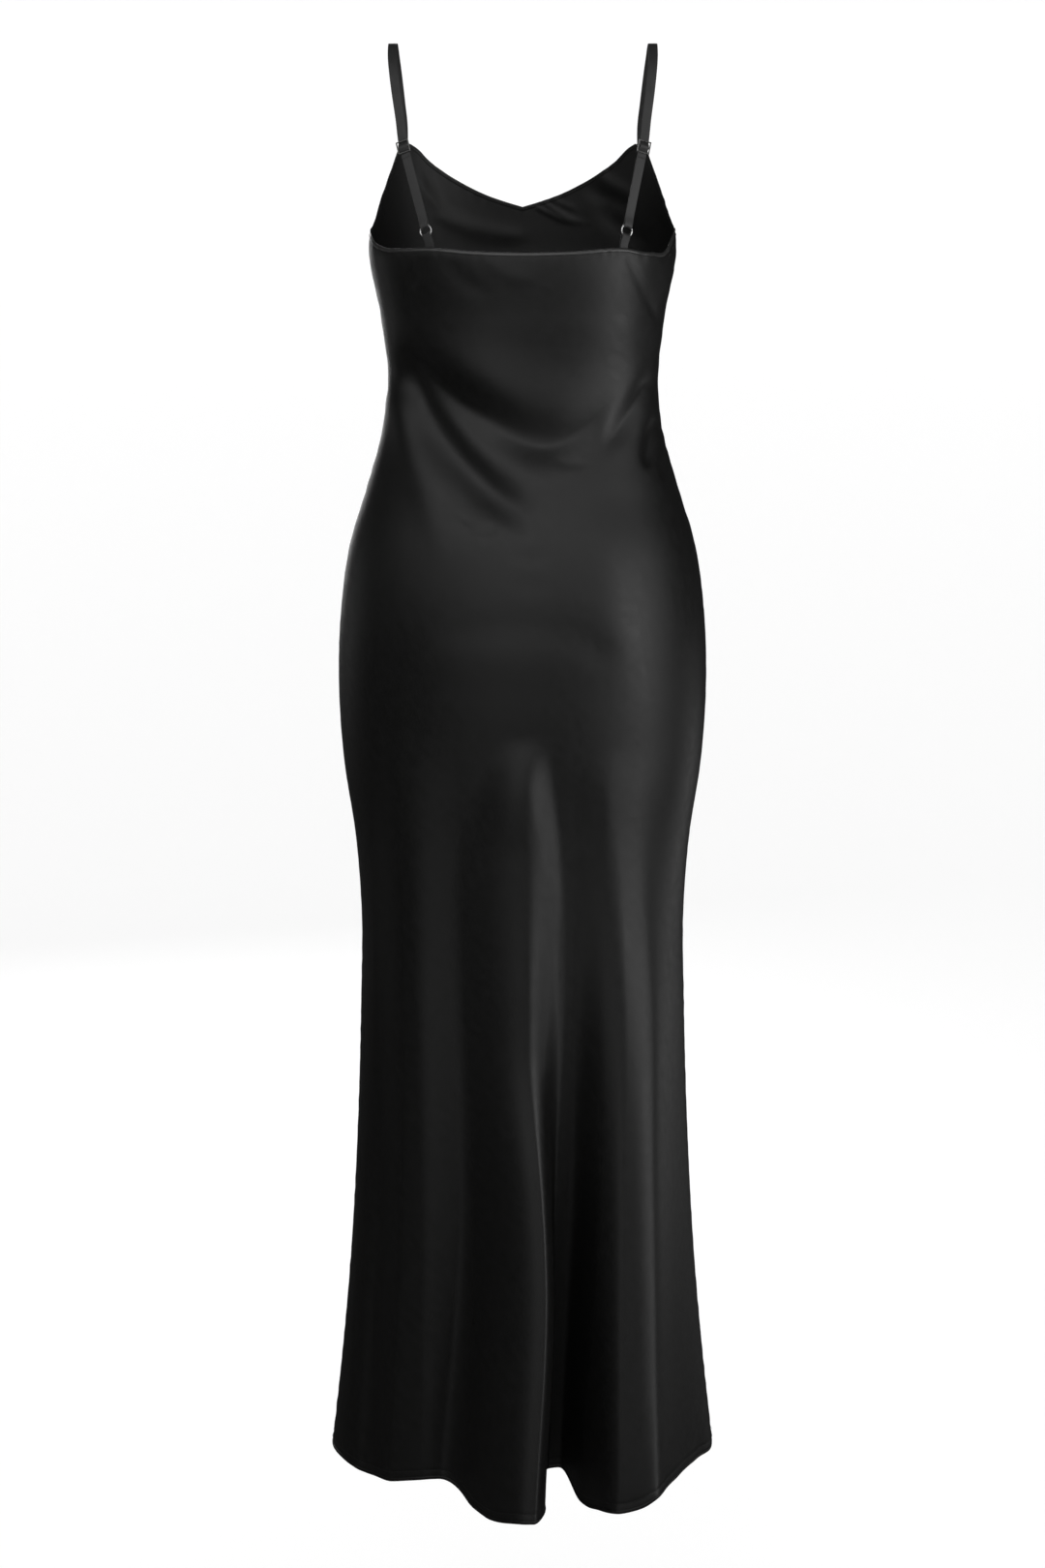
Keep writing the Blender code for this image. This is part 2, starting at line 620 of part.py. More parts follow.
def make_ring(line, material, collection):
    name = f"ring_{line.row.name}"
    bpy.ops.mesh.primitive_torus_add(major_radius=RING_RADIUS, minor_radius=RING_WIRE,
                                     major_segments=24, minor_segments=8)
    ring = bpy.context.active_object
    ring.name = ring.data.name = name
    ring.matrix_world = frame_matrix(line, line.ring_at, 0.0)
    ring.data.shade_smooth()
    ring.data.materials.append(material)
    for home in list(ring.users_collection):
        home.objects.unlink(ring)
    collection.objects.link(ring)


def make_slider(line, material, collection):
    """A frame with two slots: a grid of bars and openings, the openings deleted."""
    name = f"slider_{line.row.name}"
    inside = SLIDER_HALF_WIDTH - SLIDER_SIDE_BAR
    slot = SLIDER_HALF_HEIGHT - SLIDER_END_BAR
    across_lines = (-SLIDER_HALF_WIDTH, -inside, inside, SLIDER_HALF_WIDTH)
    along_lines = (-SLIDER_HALF_HEIGHT, -slot, -SLIDER_CENTRE_HALF_BAR, SLIDER_CENTRE_HALF_BAR,
                   slot, SLIDER_HALF_HEIGHT)
    bm = bmesh.new()
    bmesh.ops.create_grid(bm, x_segments=3, y_segments=5, size=0.5)
    slots = []
    for face in bm.faces:
        middle = face.calc_center_median()
        if abs(middle.x) < 0.1 and 0.1 < abs(middle.y) < 0.3:
            slots.append(face)
    bmesh.ops.delete(bm, geom=slots, context="FACES")
    for vert in bm.verts:
        vert.co.x = across_lines[round((vert.co.x + 0.5) * 3)]
        vert.co.y = along_lines[round((vert.co.y + 0.5) * 5)]
    mesh = bpy.data.meshes.new(name)
    bm.to_mesh(mesh)
    bm.free()
    mesh.materials.append(material)
    slider = bpy.data.objects.new(name, mesh)
    collection.objects.link(slider)
    slider.matrix_world = frame_matrix(line, line.slider_at, SLIDER_BEHIND)
    walls = slider.modifiers.new("wall", "SOLIDIFY")
    walls.thickness = SLIDER_WALL
    walls.offset = 1
    rounding = slider.modifiers.new("rounding", "BEVEL")
    rounding.width = SLIDER_ROUNDING
    rounding.segments = 1
    rounding.limit_method = "ANGLE"


def main():
    clear_scene()
    dress = bpy.data.collections.new("slip_dress")
    bpy.context.scene.collection.children.link(dress)
    front_satin = make_material("front_satin", (0.012, 0.012, 0.013), 0.40, 0.0)
    back_satin = make_material("back_satin", (0.012, 0.012, 0.013), 0.40, 0.0)
    strap_satin = make_material("strap_satin", (0.020, 0.020, 0.021), 0.45, 0.0)
    tab_satin = make_material("tab_satin", (0.020, 0.020, 0.021), 0.45, 0.0)
    ring_metal = make_material("ring_metal", (0.090, 0.090, 0.095), 0.22, 1.0)
    slider_metal = make_material("slider_metal", (0.070, 0.070, 0.075), 0.28, 1.0)
    make_back(back_satin, dress)
    make_front(front_satin, dress)
    for row in STRAP_SIDES:
        line = StrapLine(row)
        band_object(f"strap_{row.name}", line, strap_stations(line), strap_satin, dress)
        band_object(f"tab_{row.name}", line, tab_stations(line), tab_satin, dress)
        make_ring(line, ring_metal, dress)
        make_slider(line, slider_metal, dress)


main()
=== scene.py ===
# %% [markdown]
# # A slip dress in black satin
#
# A slip dress is almost nothing but cloth: one front, one back and two thin straps. Both
# panels are cut on the bias, with the threads running at 45 degrees, which lets the satin
# cling at the waist and open into flutes at the hem. The construction model already has the
# cut, the straps and the metal trim at their real size. This file dresses it: each panel
# becomes a thin shell with its creases, edges and sewing, and everything gets its finish.

# %% Load the construction model
import math
from collections import namedtuple

import bmesh
import bpy
import numpy as np
from mathutils import Matrix, Vector


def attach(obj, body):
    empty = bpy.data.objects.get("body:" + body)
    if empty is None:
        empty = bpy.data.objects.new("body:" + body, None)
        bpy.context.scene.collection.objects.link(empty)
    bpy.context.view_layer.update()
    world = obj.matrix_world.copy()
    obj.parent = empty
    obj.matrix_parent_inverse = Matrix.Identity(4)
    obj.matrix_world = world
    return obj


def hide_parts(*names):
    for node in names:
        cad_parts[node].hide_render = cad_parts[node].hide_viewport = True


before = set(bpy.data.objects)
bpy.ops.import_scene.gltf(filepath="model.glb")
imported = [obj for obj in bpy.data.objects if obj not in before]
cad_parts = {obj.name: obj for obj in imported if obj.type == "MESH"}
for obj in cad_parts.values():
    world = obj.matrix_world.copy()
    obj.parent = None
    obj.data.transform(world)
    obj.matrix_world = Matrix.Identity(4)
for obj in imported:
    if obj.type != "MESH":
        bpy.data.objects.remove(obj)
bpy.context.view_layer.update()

print("construction model:", sorted(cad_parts))

# %% [markdown]
# ## The camera
#
# The dress is seen from behind, from a little above its middle, with a long lens so that
# the hem isn't stretched. The camera is tipped down and not shifted, which keeps every other
# view of the model free of shift as well.

# %% Place the camera
CAMERA_DISTANCE = 2.60
CAMERA_DROP = 0.188
CAMERA_PITCH = 10.9
CAMERA_LENS = 63.2          # in millimetres, as the sensor is
SENSOR_WIDTH = 36.0


def add_object(name, data):
    """A new object in the scene, at the origin."""
    thing = bpy.data.objects.new(name, data)
    bpy.context.scene.collection.objects.link(thing)
    return thing


camera = add_object("camera", bpy.data.cameras.new("camera"))
camera.data.lens = CAMERA_LENS
camera.data.sensor_width = SENSOR_WIDTH
camera.location = (0.0, CAMERA_DISTANCE, -CAMERA_DROP)
camera.rotation_euler = (math.radians(90.0 - CAMERA_PITCH), 0.0, math.radians(180.0))
bpy.context.scene.camera = camera
print("camera", CAMERA_DISTANCE, "m behind the dress")

# %% [markdown]
# ## The sizes of the cloth
#
# The two panels are described by what a pattern cutter would note on a stand. At each drop
# below the strap tops there is half the dress's width and how deep it is to the back and to
# the front. Below the hip the cloth has flutes: soft cones that start as nothing and are
# deepest at the hem. Each flute has a row for a few levels, which says where its two flanks
# begin and end across the panel and how far it stands out.

# %% Sizes of the two panels
MM = 0.001
FRONT, BACK = -1, 1
HEM_DROP = 1.361
SEAM_TOP_DROP = 0.168
YOKE_DROP = 0.260
SEAM_HALF_GAP = 0.17 * MM
ROUNDNESS = 0.88

Section = namedtuple("Section", "drop half_width back_depth front_depth")
SECTIONS = (
    Section(0.0800, 0.1405, 0.0960, 0.1180),
    Section(0.1660, 0.1416, 0.1010, 0.1270),
    Section(0.1830, 0.1424, 0.1020, 0.1280),   # bust
    Section(0.2450, 0.1318, 0.0930, 0.1190),
    Section(0.3020, 0.1266, 0.0840, 0.1030),   # waist
    Section(0.3470, 0.1309, 0.0880, 0.0990),
    Section(0.4010, 0.1458, 0.1030, 0.1020),
    Section(0.4560, 0.1628, 0.1210, 0.1080),
    Section(0.5200, 0.1722, 0.1320, 0.1130),
    Section(0.5860, 0.1750, 0.1295, 0.1140),   # hip
    Section(0.6610, 0.1711, 0.1225, 0.1110),
    Section(0.7370, 0.1606, 0.1155, 0.1070),
    Section(0.8135, 0.1558, 0.1105, 0.1040),   # knee
    Section(0.9000, 0.1573, 0.1070, 0.1020),
    Section(1.0190, 0.1616, 0.1040, 0.1020),
    Section(1.1700, 0.1711, 0.1020, 0.1030),
    Section(1.2720, 0.1809, 0.1010, 0.1040),
    Section(1.3610, 0.1912, 0.1000, 0.1050),   # hem
)

Flute = namedtuple("Flute", "drop left_foot left_top right_top right_foot depth")
BACK_FLUTES = {
    "side": (
        Flute(0.800, 0.158, 0.150, 0.147, 0.126, 0.000),
        Flute(1.100, 0.166, 0.160, 0.156, 0.134, 0.006),
        Flute(1.361, 0.190, 0.172, 0.165, 0.140, 0.010),
    ),
    "left": (
        Flute(0.620, 0.142, 0.112, 0.108, 0.054, 0.000),
        Flute(0.740, 0.142, 0.112, 0.108, 0.056, 0.010),
        Flute(0.850, 0.140, 0.111, 0.104, 0.054, 0.013),
        Flute(1.050, 0.138, 0.112, 0.098, 0.046, 0.016),
        Flute(1.361, 0.160, 0.128, 0.100, 0.048, 0.020),
    ),
    "centre": (
        Flute(0.626, 0.024, -0.002, -0.008, -0.026, 0.0000),
        Flute(0.655, 0.040, 0.004, -0.002, -0.030, 0.0062),
        Flute(0.740, 0.066, 0.005, -0.001, -0.036, 0.0090),
        Flute(0.850, 0.070, 0.003, -0.003, -0.034, 0.0135),
        Flute(0.940, 0.066, 0.001, -0.004, -0.035, 0.0185),
        Flute(1.050, 0.062, -0.004, -0.008, -0.031, 0.0380),
        Flute(1.361, 0.082, 0.010, 0.006, -0.022, 0.0900),
    ),
    "recess": (
        Flute(0.600, 0.020, -0.036, -0.044, -0.086, 0.0000),
        Flute(0.650, 0.004, -0.034, -0.044, -0.084, -0.0010),
        Flute(0.690, -0.008, -0.036, -0.046, -0.082, -0.0030),
        Flute(0.740, -0.018, -0.040, -0.044, -0.080, -0.0035),
        Flute(0.850, -0.024, -0.042, -0.045, -0.078, -0.0030),
        Flute(1.050, -0.012, -0.034, -0.048, -0.076, -0.0130),
        Flute(1.361, -0.013, -0.026, -0.036, -0.056, -0.0300),
    ),
    "right": (
        Flute(0.640, -0.048, -0.074, -0.096, -0.140, 0.000),
        Flute(0.740, -0.050, -0.092, -0.106, -0.150, 0.005),
        Flute(0.850, -0.047, -0.098, -0.118, -0.160, 0.016),
        Flute(1.050, -0.043, -0.096, -0.122, -0.168, 0.038),
        Flute(1.361, -0.036, -0.094, -0.126, -0.180, 0.076),
    ),
    "right shoulder": (
        Flute(0.800, -0.082, -0.120, -0.124, -0.160, 0.0000),
        Flute(0.960, -0.082, -0.122, -0.126, -0.164, 0.0060),
        Flute(1.361, -0.082, -0.126, -0.130, -0.184, 0.0080),
    ),
}
FRONT_FLUTES = {
    "left": (
        Flute(0.640, 0.120, 0.088, 0.080, 0.044, 0.000),
        Flute(0.850, 0.126, 0.092, 0.080, 0.040, 0.014),
        Flute(1.361, 0.162, 0.118, 0.086, 0.040, 0.062),
    ),
    "centre": (
        Flute(0.720, 0.036, 0.010, 0.000, -0.032, 0.000),
        Flute(1.000, 0.036, 0.010, -0.004, -0.036, 0.016),
        Flute(1.361, 0.034, 0.010, -0.014, -0.050, 0.040),
    ),
    "right": (
        Flute(0.600, -0.052, -0.082, -0.092, -0.124, 0.000),
        Flute(0.850, -0.050, -0.084, -0.098, -0.138, 0.020),
        Flute(1.361, -0.052, -0.088, -0.120, -0.170, 0.072),
    ),
}

# The centre back flute rolls over the recess beside it, so its lip leans sideways.
Lip = namedtuple("Lip", "drop lean")
LIP = (Lip(0.930, 0.000), Lip(1.040, 0.008), Lip(1.160, 0.016), Lip(1.361, 0.018))
LIP_FLAT_REACH = 0.030      # of the lean, over the flute's flat flank
LIP_WALL_REACH = 0.009      # and down its steep one
LIP_PEAK_SHARE = 0.30       # of the steep flank, from its top to where the lean is most
print("the hem is", HEM_DROP, "m below the strap tops and", 2 * SECTIONS[-1].half_width, "m wide")

# %% [markdown]
# ## Creases
#
# Tension lines are what make bias satin look like satin. They start at a hard point, such as
# the side seam at the waist or the foot of a strap, and fade out in the cloth. Each one here
# is a route across the panel, how wide it is to either side, and how far it stands out, with
# a minus where it is a trough. A simulation could find such folds, but not these folds in
# this order, so they are given one by one. The first table holds the large folds, of which the
# construction model has plainer versions. The second holds finer ones, and only this shell has
# those.

# %% Tables of creases
Crease = namedtuple("Crease", "name route reach depth rise fall crisp", defaults=(0.25, 0.25, 0.0))
BACK_FOLDS = (
    Crease("roll over the waist",
           ((0.104, 0.268), (0.076, 0.282), (0.046, 0.294), (0.016, 0.306), (-0.012, 0.314),
            (-0.034, 0.310), (-0.056, 0.296)), 0.030, 0.0068, 0.35, 0.60),
    Crease("swag below the roll",
           ((0.116, 0.266), (0.104, 0.279), (0.092, 0.294), (0.077, 0.306), (0.061, 0.318), (0.045, 0.328),
            (0.028, 0.337), (0.002, 0.351), (-0.026, 0.357), (-0.041, 0.353), (-0.058, 0.341),
            (-0.076, 0.324), (-0.092, 0.306)),
           0.022, -0.0106, 0.16, 0.40, 0.15),
    Crease("right arm of the swag", ((-0.026, 0.366), (-0.044, 0.360), (-0.062, 0.348), (-0.080, 0.330),
                                     (-0.098, 0.308), (-0.116, 0.282)), 0.017, 0.0010, 0.35, 0.25),
    Crease("ridge beside the left drag",
           ((0.106, 0.283), (0.088, 0.312), (0.073, 0.332), (0.059, 0.349), (0.043, 0.365),
            (0.026, 0.382), (0.006, 0.402)), 0.012, 0.0030, 0.10, 0.45),
    Crease("left drag",
           ((0.113, 0.282), (0.105, 0.300), (0.094, 0.321), (0.083, 0.338), (0.070, 0.354), (0.056, 0.370),
            (0.041, 0.386), (0.022, 0.404), (0.002, 0.420), (-0.016, 0.434)),
           0.0205, -0.0112, 0.08, 0.34),
    Crease("left hip line", ((0.115, 0.312), (0.109, 0.336), (0.101, 0.364), (0.091, 0.396), (0.080, 0.430),
                             (0.070, 0.468)), 0.016, 0.0038, 0.10, 0.60),
    Crease("right drag", ((-0.119, 0.298), (-0.107, 0.318), (-0.096, 0.334), (-0.085, 0.350),
                          (-0.072, 0.368)), 0.011, -0.0030, 0.15, 0.40),
    Crease("right blade", ((-0.088, 0.194), (-0.092, 0.230), (-0.097, 0.270), (-0.101, 0.310)),
           0.034, 0.0020, 0.30, 0.40),
    Crease("right pocket", ((-0.124, 0.336), (-0.119, 0.356), (-0.115, 0.382)), 0.007, -0.0040),
    Crease("right hip line", ((-0.062, 0.400), (-0.078, 0.470), (-0.096, 0.530), (-0.110, 0.590),
                              (-0.118, 0.660)), 0.030, 0.0018, 0.30, 0.45),
    Crease("under the seat", ((0.092, 0.538), (0.045, 0.523), (0.000, 0.520), (-0.053, 0.530),
                              (-0.092, 0.562)), 0.018, -0.0020),
)
FRONT_FOLDS = (
    Crease("roll over the waist",
           ((0.100, 0.264), (0.060, 0.284), (0.020, 0.304), (-0.018, 0.310), (-0.056, 0.292),
            (-0.098, 0.260)), 0.030, 0.0062, 0.40, 0.50),
    Crease("swag below the roll",
           ((0.122, 0.270), (0.098, 0.294), (0.070, 0.318), (0.036, 0.342), (0.008, 0.353),
            (-0.018, 0.352), (-0.046, 0.338), (-0.078, 0.312), (-0.104, 0.288), (-0.122, 0.268)),
           0.022, -0.0104, 0.18, 0.24, 0.15),
    Crease("left drag", ((0.117, 0.294), (0.102, 0.326), (0.082, 0.356), (0.058, 0.382), (0.028, 0.406)),
           0.014, -0.0070, 0.10, 0.45),
    Crease("right drag", ((-0.118, 0.290), (-0.104, 0.322), (-0.088, 0.350), (-0.064, 0.376),
                          (-0.036, 0.398)), 0.015, -0.0078, 0.10, 0.40),
    Crease("outer right drag", ((-0.124, 0.324), (-0.118, 0.352), (-0.106, 0.386)), 0.008, -0.0030),
    Crease("left hip line", ((0.122, 0.330), (0.114, 0.370), (0.106, 0.420), (0.104, 0.480)),
           0.014, 0.0034, 0.20, 0.50),
    Crease("under the bust", ((0.092, 0.232), (0.046, 0.250), (0.000, 0.256), (-0.048, 0.248),
                              (-0.094, 0.228)), 0.022, -0.0026),
)
BACK_CREASES = (
    Crease("right drag line", ((-0.117, 0.300), (-0.107, 0.317), (-0.096, 0.334), (-0.086, 0.348),
                               (-0.070, 0.369)), 0.0035, -0.0004, 0.12, 0.40),
    Crease("right shoulder line", ((-0.090, 0.184), (-0.106, 0.214), (-0.127, 0.256)), 0.0045, -0.0009),
    Crease("outer right pocket", ((-0.129, 0.356), (-0.129, 0.374), (-0.130, 0.396)), 0.0045, -0.0014),
    Crease("dimple", ((-0.030, 0.371), (-0.046, 0.375), (-0.066, 0.371)), 0.0055, -0.0008),
    Crease("seat line", ((0.064, 0.425), (0.044, 0.434), (0.020, 0.432)), 0.0050, -0.0008),
    Crease("lower seat line", ((0.016, 0.451), (-0.008, 0.457), (-0.032, 0.452)), 0.0060, -0.0007),
    Crease("left tab line", ((0.086, 0.190), (0.094, 0.204), (0.106, 0.222)), 0.0060, -0.0009),
    Crease("left back line", ((0.070, 0.196), (0.052, 0.212), (0.030, 0.224)), 0.0090, -0.0010),
    Crease("middle back line", ((0.034, 0.194), (0.012, 0.206), (-0.014, 0.212)), 0.0080, 0.0008),
    Crease("lowest seat line", ((0.010, 0.480), (-0.008, 0.484), (-0.026, 0.481)), 0.0070, -0.0006),
)
FRONT_CREASES = (
    Crease("first pinch", ((-0.012, 0.143), (-0.024, 0.148), (-0.038, 0.155), (-0.062, 0.161)),
           0.0026, -0.0013, 0.06, 0.60),
    Crease("second pinch", ((-0.020, 0.139), (-0.033, 0.147), (-0.047, 0.155), (-0.072, 0.159)),
           0.0026, -0.0012, 0.06, 0.60),
    Crease("third pinch", ((-0.028, 0.136), (-0.043, 0.142), (-0.060, 0.148)),
           0.0026, -0.0008, 0.10, 0.60),
    Crease("right neck hollow", ((-0.060, 0.124), (-0.079, 0.134), (-0.093, 0.140), (-0.106, 0.146)),
           0.0090, 0.0018),
    Crease("right neck fold", ((-0.070, 0.112), (-0.093, 0.127), (-0.113, 0.137)), 0.0070, -0.0021),
    Crease("right bust fold", ((-0.072, 0.143), (-0.102, 0.168), (-0.124, 0.180)), 0.0100, 0.0022),
    Crease("right arm fold", ((-0.130, 0.138), (-0.136, 0.162)), 0.0045, -0.0012),
    Crease("left bust fold", ((0.102, 0.112), (0.093, 0.131), (0.078, 0.147)), 0.0070, -0.0016),
    Crease("left arm fold", ((0.134, 0.142), (0.138, 0.159), (0.140, 0.178)), 0.0045, -0.0012),
    Crease("cowl line", ((0.096, 0.144), (0.065, 0.158), (0.028, 0.168), (-0.010, 0.172)),
           0.0090, -0.0016),
    Crease("left hip dimple", ((0.064, 0.424), (0.044, 0.432), (0.022, 0.430)), 0.0055, -0.0009),
    Crease("belly line", ((0.020, 0.402), (-0.006, 0.408), (-0.030, 0.402)), 0.0060, -0.0008),
)
print("creases:", len(BACK_FOLDS) + len(BACK_CREASES), "on the back,",
      len(FRONT_FOLDS) + len(FRONT_CREASES), "on the front")

# %% [markdown]
# ## The edges of the cloth
#
# The top edges are read as a drop at each distance across: the nearly straight back, the V
# neck, and the armholes that climb from the side seams to the strap points.

# %% Tables of the top edges
Edge = namedtuple("Edge", "across drop")
BACK_NECK = (
    Edge(-0.1416, 0.1680), Edge(-0.1396, 0.1690), Edge(-0.1366, 0.1730), Edge(-0.1310, 0.1835),
    Edge(-0.1160, 0.1868), Edge(-0.0910, 0.1832), Edge(-0.0450, 0.1862), Edge(0.0000, 0.1873),
    Edge(0.0450, 0.1860), Edge(0.0830, 0.1830), Edge(0.1070, 0.1833), Edge(0.1260, 0.1820),
    Edge(0.1350, 0.1770), Edge(0.1395, 0.1710), Edge(0.1416, 0.1680),
)
FRONT_NECK = (
    Edge(0.0000, 0.1436), Edge(0.0186, 0.1381), Edge(0.0342, 0.1327), Edge(0.0574, 0.1219),
    Edge(0.0760, 0.1111), Edge(0.0905, 0.1005), Edge(0.1013, 0.0898), Edge(0.1080, 0.0856),
)
ARMHOLE = (
    Edge(0.1168, 0.0856), Edge(0.1195, 0.0950), Edge(0.1234, 0.1075), Edge(0.1270, 0.1180),
    Edge(0.1303, 0.1288), Edge(0.1338, 0.1396), Edge(0.1369, 0.1504), Edge(0.1396, 0.1610),
    Edge(0.1416, 0.1680),
)
EDGE_LEVEL = 0.120          # the section on which those distances across are read
print("the armholes climb", round(ARMHOLE[-1].drop - ARMHOLE[0].drop, 3), "m")

# %% [markdown]
# ## Reading the tables
#
# A table only has a few rows, so it is read along a smooth curve through them. An S-shaped
# ramp serves for everything that swells or fades.

# %% Curve helpers
TINY = 1e-12                # keeps a vector of no length from being divided by nothing


def smooth(places, values, at):
    """Read a table along a smooth curve through its rows, held level past its ends."""
    places, values = np.asarray(places, float), np.asarray(values, float)
    at = np.clip(at, places[0], places[-1])
    slopes = np.gradient(values, places)
    row = np.clip(np.searchsorted(places, at, side="right") - 1, 0, len(places) - 2)
    step = places[row + 1] - places[row]
    t = (at - places[row]) / step
    start = (1 + 2 * t) * (1 - t) ** 2 * values[row] + t * (1 - t) ** 2 * step * slopes[row]
    end = t * t * (3 - 2 * t) * values[row + 1] + t * t * (t - 1) * step * slopes[row + 1]
    return start + end


def table_at(rows, at):
    """All columns of a table at one place in its first column."""
    columns = list(zip(*rows))
    return type(rows[0])(at, *(float(smooth(columns[0], column, at)) for column in columns[1:]))


def ramp(x, low, high):
    """An S-shaped rise from 0 at low to 1 at high."""
    t = np.clip((x - low) / (high - low), 0.0, 1.0)
    return t * t * (3 - 2 * t)


def running_length(points):
    """Length along a polyline up to each of its points."""
    return np.concatenate([[0.0], np.cumsum(np.linalg.norm(np.diff(points, axis=0), axis=1))])


def bell(gap, reach):
    """A soft bump: 1 where the gap is nothing, and all but gone at twice the reach."""
    return np.exp(-((gap / reach) ** 2))


def unit(vectors):
    """Vectors scaled to a length of one."""
    return vectors / np.maximum(np.linalg.norm(vectors, axis=-1, keepdims=True), TINY)


waist = min(SECTIONS, key=lambda level: level.half_width)
print("waist is", round(2 * waist.half_width, 3), "m wide")

# %% [markdown]
# ## The form of a panel
#
# A level cut through half the dress is a squarish half ellipse with the flutes added and the
# lip leaning. Sections are worked out at many levels and kept as a stack, with each section
# divided into shares of its width. Where the cloth bends sharply the shares are closer, so
# the mesh has more columns there. Any point of a panel is then read from the stack by its
# share and its drop.

# %% Stack the sections of both panels
SECTION_POINTS = 1001
STACK_TOP = 0.080
STACK_STEP = 2.0 * MM
STACK_SHARES = np.linspace(0.0, 1.0, 701)
BEND_WEIGHT = 0.012         # metres of width that a full radian of bend counts for
LAST_CELL = 1.001           # taken off a count, it keeps a place inside the last cell
EDGE_ROW = round((EDGE_LEVEL - STACK_TOP) / STACK_STEP)


def flute_offset(flutes, across, drop):
    """How far the skirt's flutes stand out of the plain section."""
    offset = np.zeros_like(across)
    for rows in flutes.values():
        if drop > rows[0].drop:
            flute = table_at(rows, drop)
            left = ramp(across, flute.left_foot, flute.left_top)
            right = ramp(across, flute.right_foot, flute.right_top)
            offset += flute.depth * (left * right)
    return offset


def lip_shift(across, drop):
    """Sideways lean of the centre back flute over the recess beside it."""
    lean = max(0.0, table_at(LIP, drop).lean)
    flute = table_at(BACK_FLUTES["centre"], drop)
    peak = flute.right_top + LIP_PEAK_SHARE * (flute.right_foot - flute.right_top)
    return -lean * bell(across - peak, np.where(across > peak, LIP_FLAT_REACH, LIP_WALL_REACH))


def section_at(side, drop):
    """One section at even shares of its width: distance across, x and y."""
    level = table_at(SECTIONS, drop)
    angle = np.linspace(math.pi / 2, -math.pi / 2, SECTION_POINTS)
    across = level.half_width * np.sin(angle)
    if side == BACK:
        depth, flutes, shift = level.back_depth, BACK_FLUTES, lip_shift(across, drop)
    else:
        depth, flutes, shift = level.front_depth, FRONT_FLUTES, 0.0
    out = depth * np.clip(np.cos(angle), 0.0, None) ** ROUNDNESS
    out += flute_offset(flutes, across, drop)
    line = np.stack([across + shift, out], axis=1)
    heading = np.unwrap(np.arctan2(*np.gradient(line, axis=0).T))
    width = running_length(line)
    width += BEND_WEIGHT * np.concatenate([[0.0], np.cumsum(np.abs(np.diff(heading)))])
    share = width / width[-1]
    columns = [np.interp(STACK_SHARES, share, values) for values in (across, *line.T)]
    columns[2] = side * (columns[2] + SEAM_HALF_GAP)
    return np.stack(columns, axis=1)


stack_drops = np.arange(STACK_TOP, HEM_DROP + STACK_STEP, STACK_STEP)
stacks = {side: np.stack([section_at(side, drop) for drop in stack_drops]) for side in (FRONT, BACK)}


def read_stack(side, share, drop):
    """Distance across, x and y of a panel at arrays of shares and drops."""
    stack = stacks[side]
    row = np.clip((np.asarray(drop) - STACK_TOP) / STACK_STEP, 0, len(stack_drops) - LAST_CELL)
    column = np.clip(np.asarray(share), 0, 1) * (len(STACK_SHARES) - LAST_CELL)
    r, c = row.astype(int), column.astype(int)
    fr, fc = (row - r)[..., None], (column - c)[..., None]
    above = stack[r, c] * (1 - fc) + stack[r, c + 1] * fc
    below = stack[r + 1, c] * (1 - fc) + stack[r + 1, c + 1] * fc
    return above * (1 - fr) + below * fr


print("stacked", len(stack_drops), "levels of", len(STACK_SHARES), "shares")

# %% [markdown]
# ## Where a panel starts
#
# The mesh works in shares, but the top edges are drawn over distances across. So a share is
# turned into its distance on one level near the top, and then the edge's table is read there.

# %% Read the top edges
SAME_PLACE = 1e-6


def share_at(side, across):
    """The share of a panel's width that lies at a distance across."""
    return float(np.interp(-across, -stacks[side][EDGE_ROW, :, 1], STACK_SHARES))


def across_at(side, share):
    """The distance across at an array of shares."""
    return np.interp(share, STACK_SHARES, stacks[side][EDGE_ROW, :, 1])


def read_edge(table, across):
    """Drop of an edge at an array of distances across."""
    return smooth([edge.across for edge in table], [edge.drop for edge in table], across)


def back_top(share):
    """Drop of the back's top edge at an array of shares."""
    return read_edge(BACK_NECK, across_at(BACK, share))


def front_top(share):
    """Drop of the front's top edge: the V neck, a strap point's flat top, the armhole."""
    across = np.abs(across_at(FRONT, share))
    neck, arm = read_edge(FRONT_NECK, across), read_edge(ARMHOLE, across)
    return np.where(across <= FRONT_NECK[-1].across + SAME_PLACE, neck, arm)


print("the V neck comes down to", round(float(front_top(share_at(FRONT, 0.0))), 3), "m")

# %% [markdown]
# ## From shares and drops to cloth
#
# The creases push the cloth in or out square to its own surface. So a patch of cloth is made
# in three steps: read the plain form, move it by the large folds along its normals, then
# find the normals again and move it by the fine creases. Everything that lies on a panel,
# such as a hem turning or a row of stitches, is made from the same patch, moved out a little.

# %% How creases push the cloth
CREASE_POINTS = 90
CREASE_END = 3              # times its reach, where a crease is cut off
CREASE_TAPER = 0.4          # of its reach, lost at a crease's two ends
DAB_WIDTHS = (1.0, 0.5, 0.25)       # times the crease's reach, for a plain dab and two crisp ones
CRISP_PARTS = (0.6, 0.4)            # of a crisp crease's depth, in its two crisp dabs


def crease_line(crease):
    """A crease's route as a fine polyline."""
    route = np.array(crease.route)
    chord = running_length(route)
    fine = np.linspace(0.0, chord[-1], CREASE_POINTS)
    return np.stack([smooth(chord, route[:, k], fine) for k in (0, 1)], axis=1)


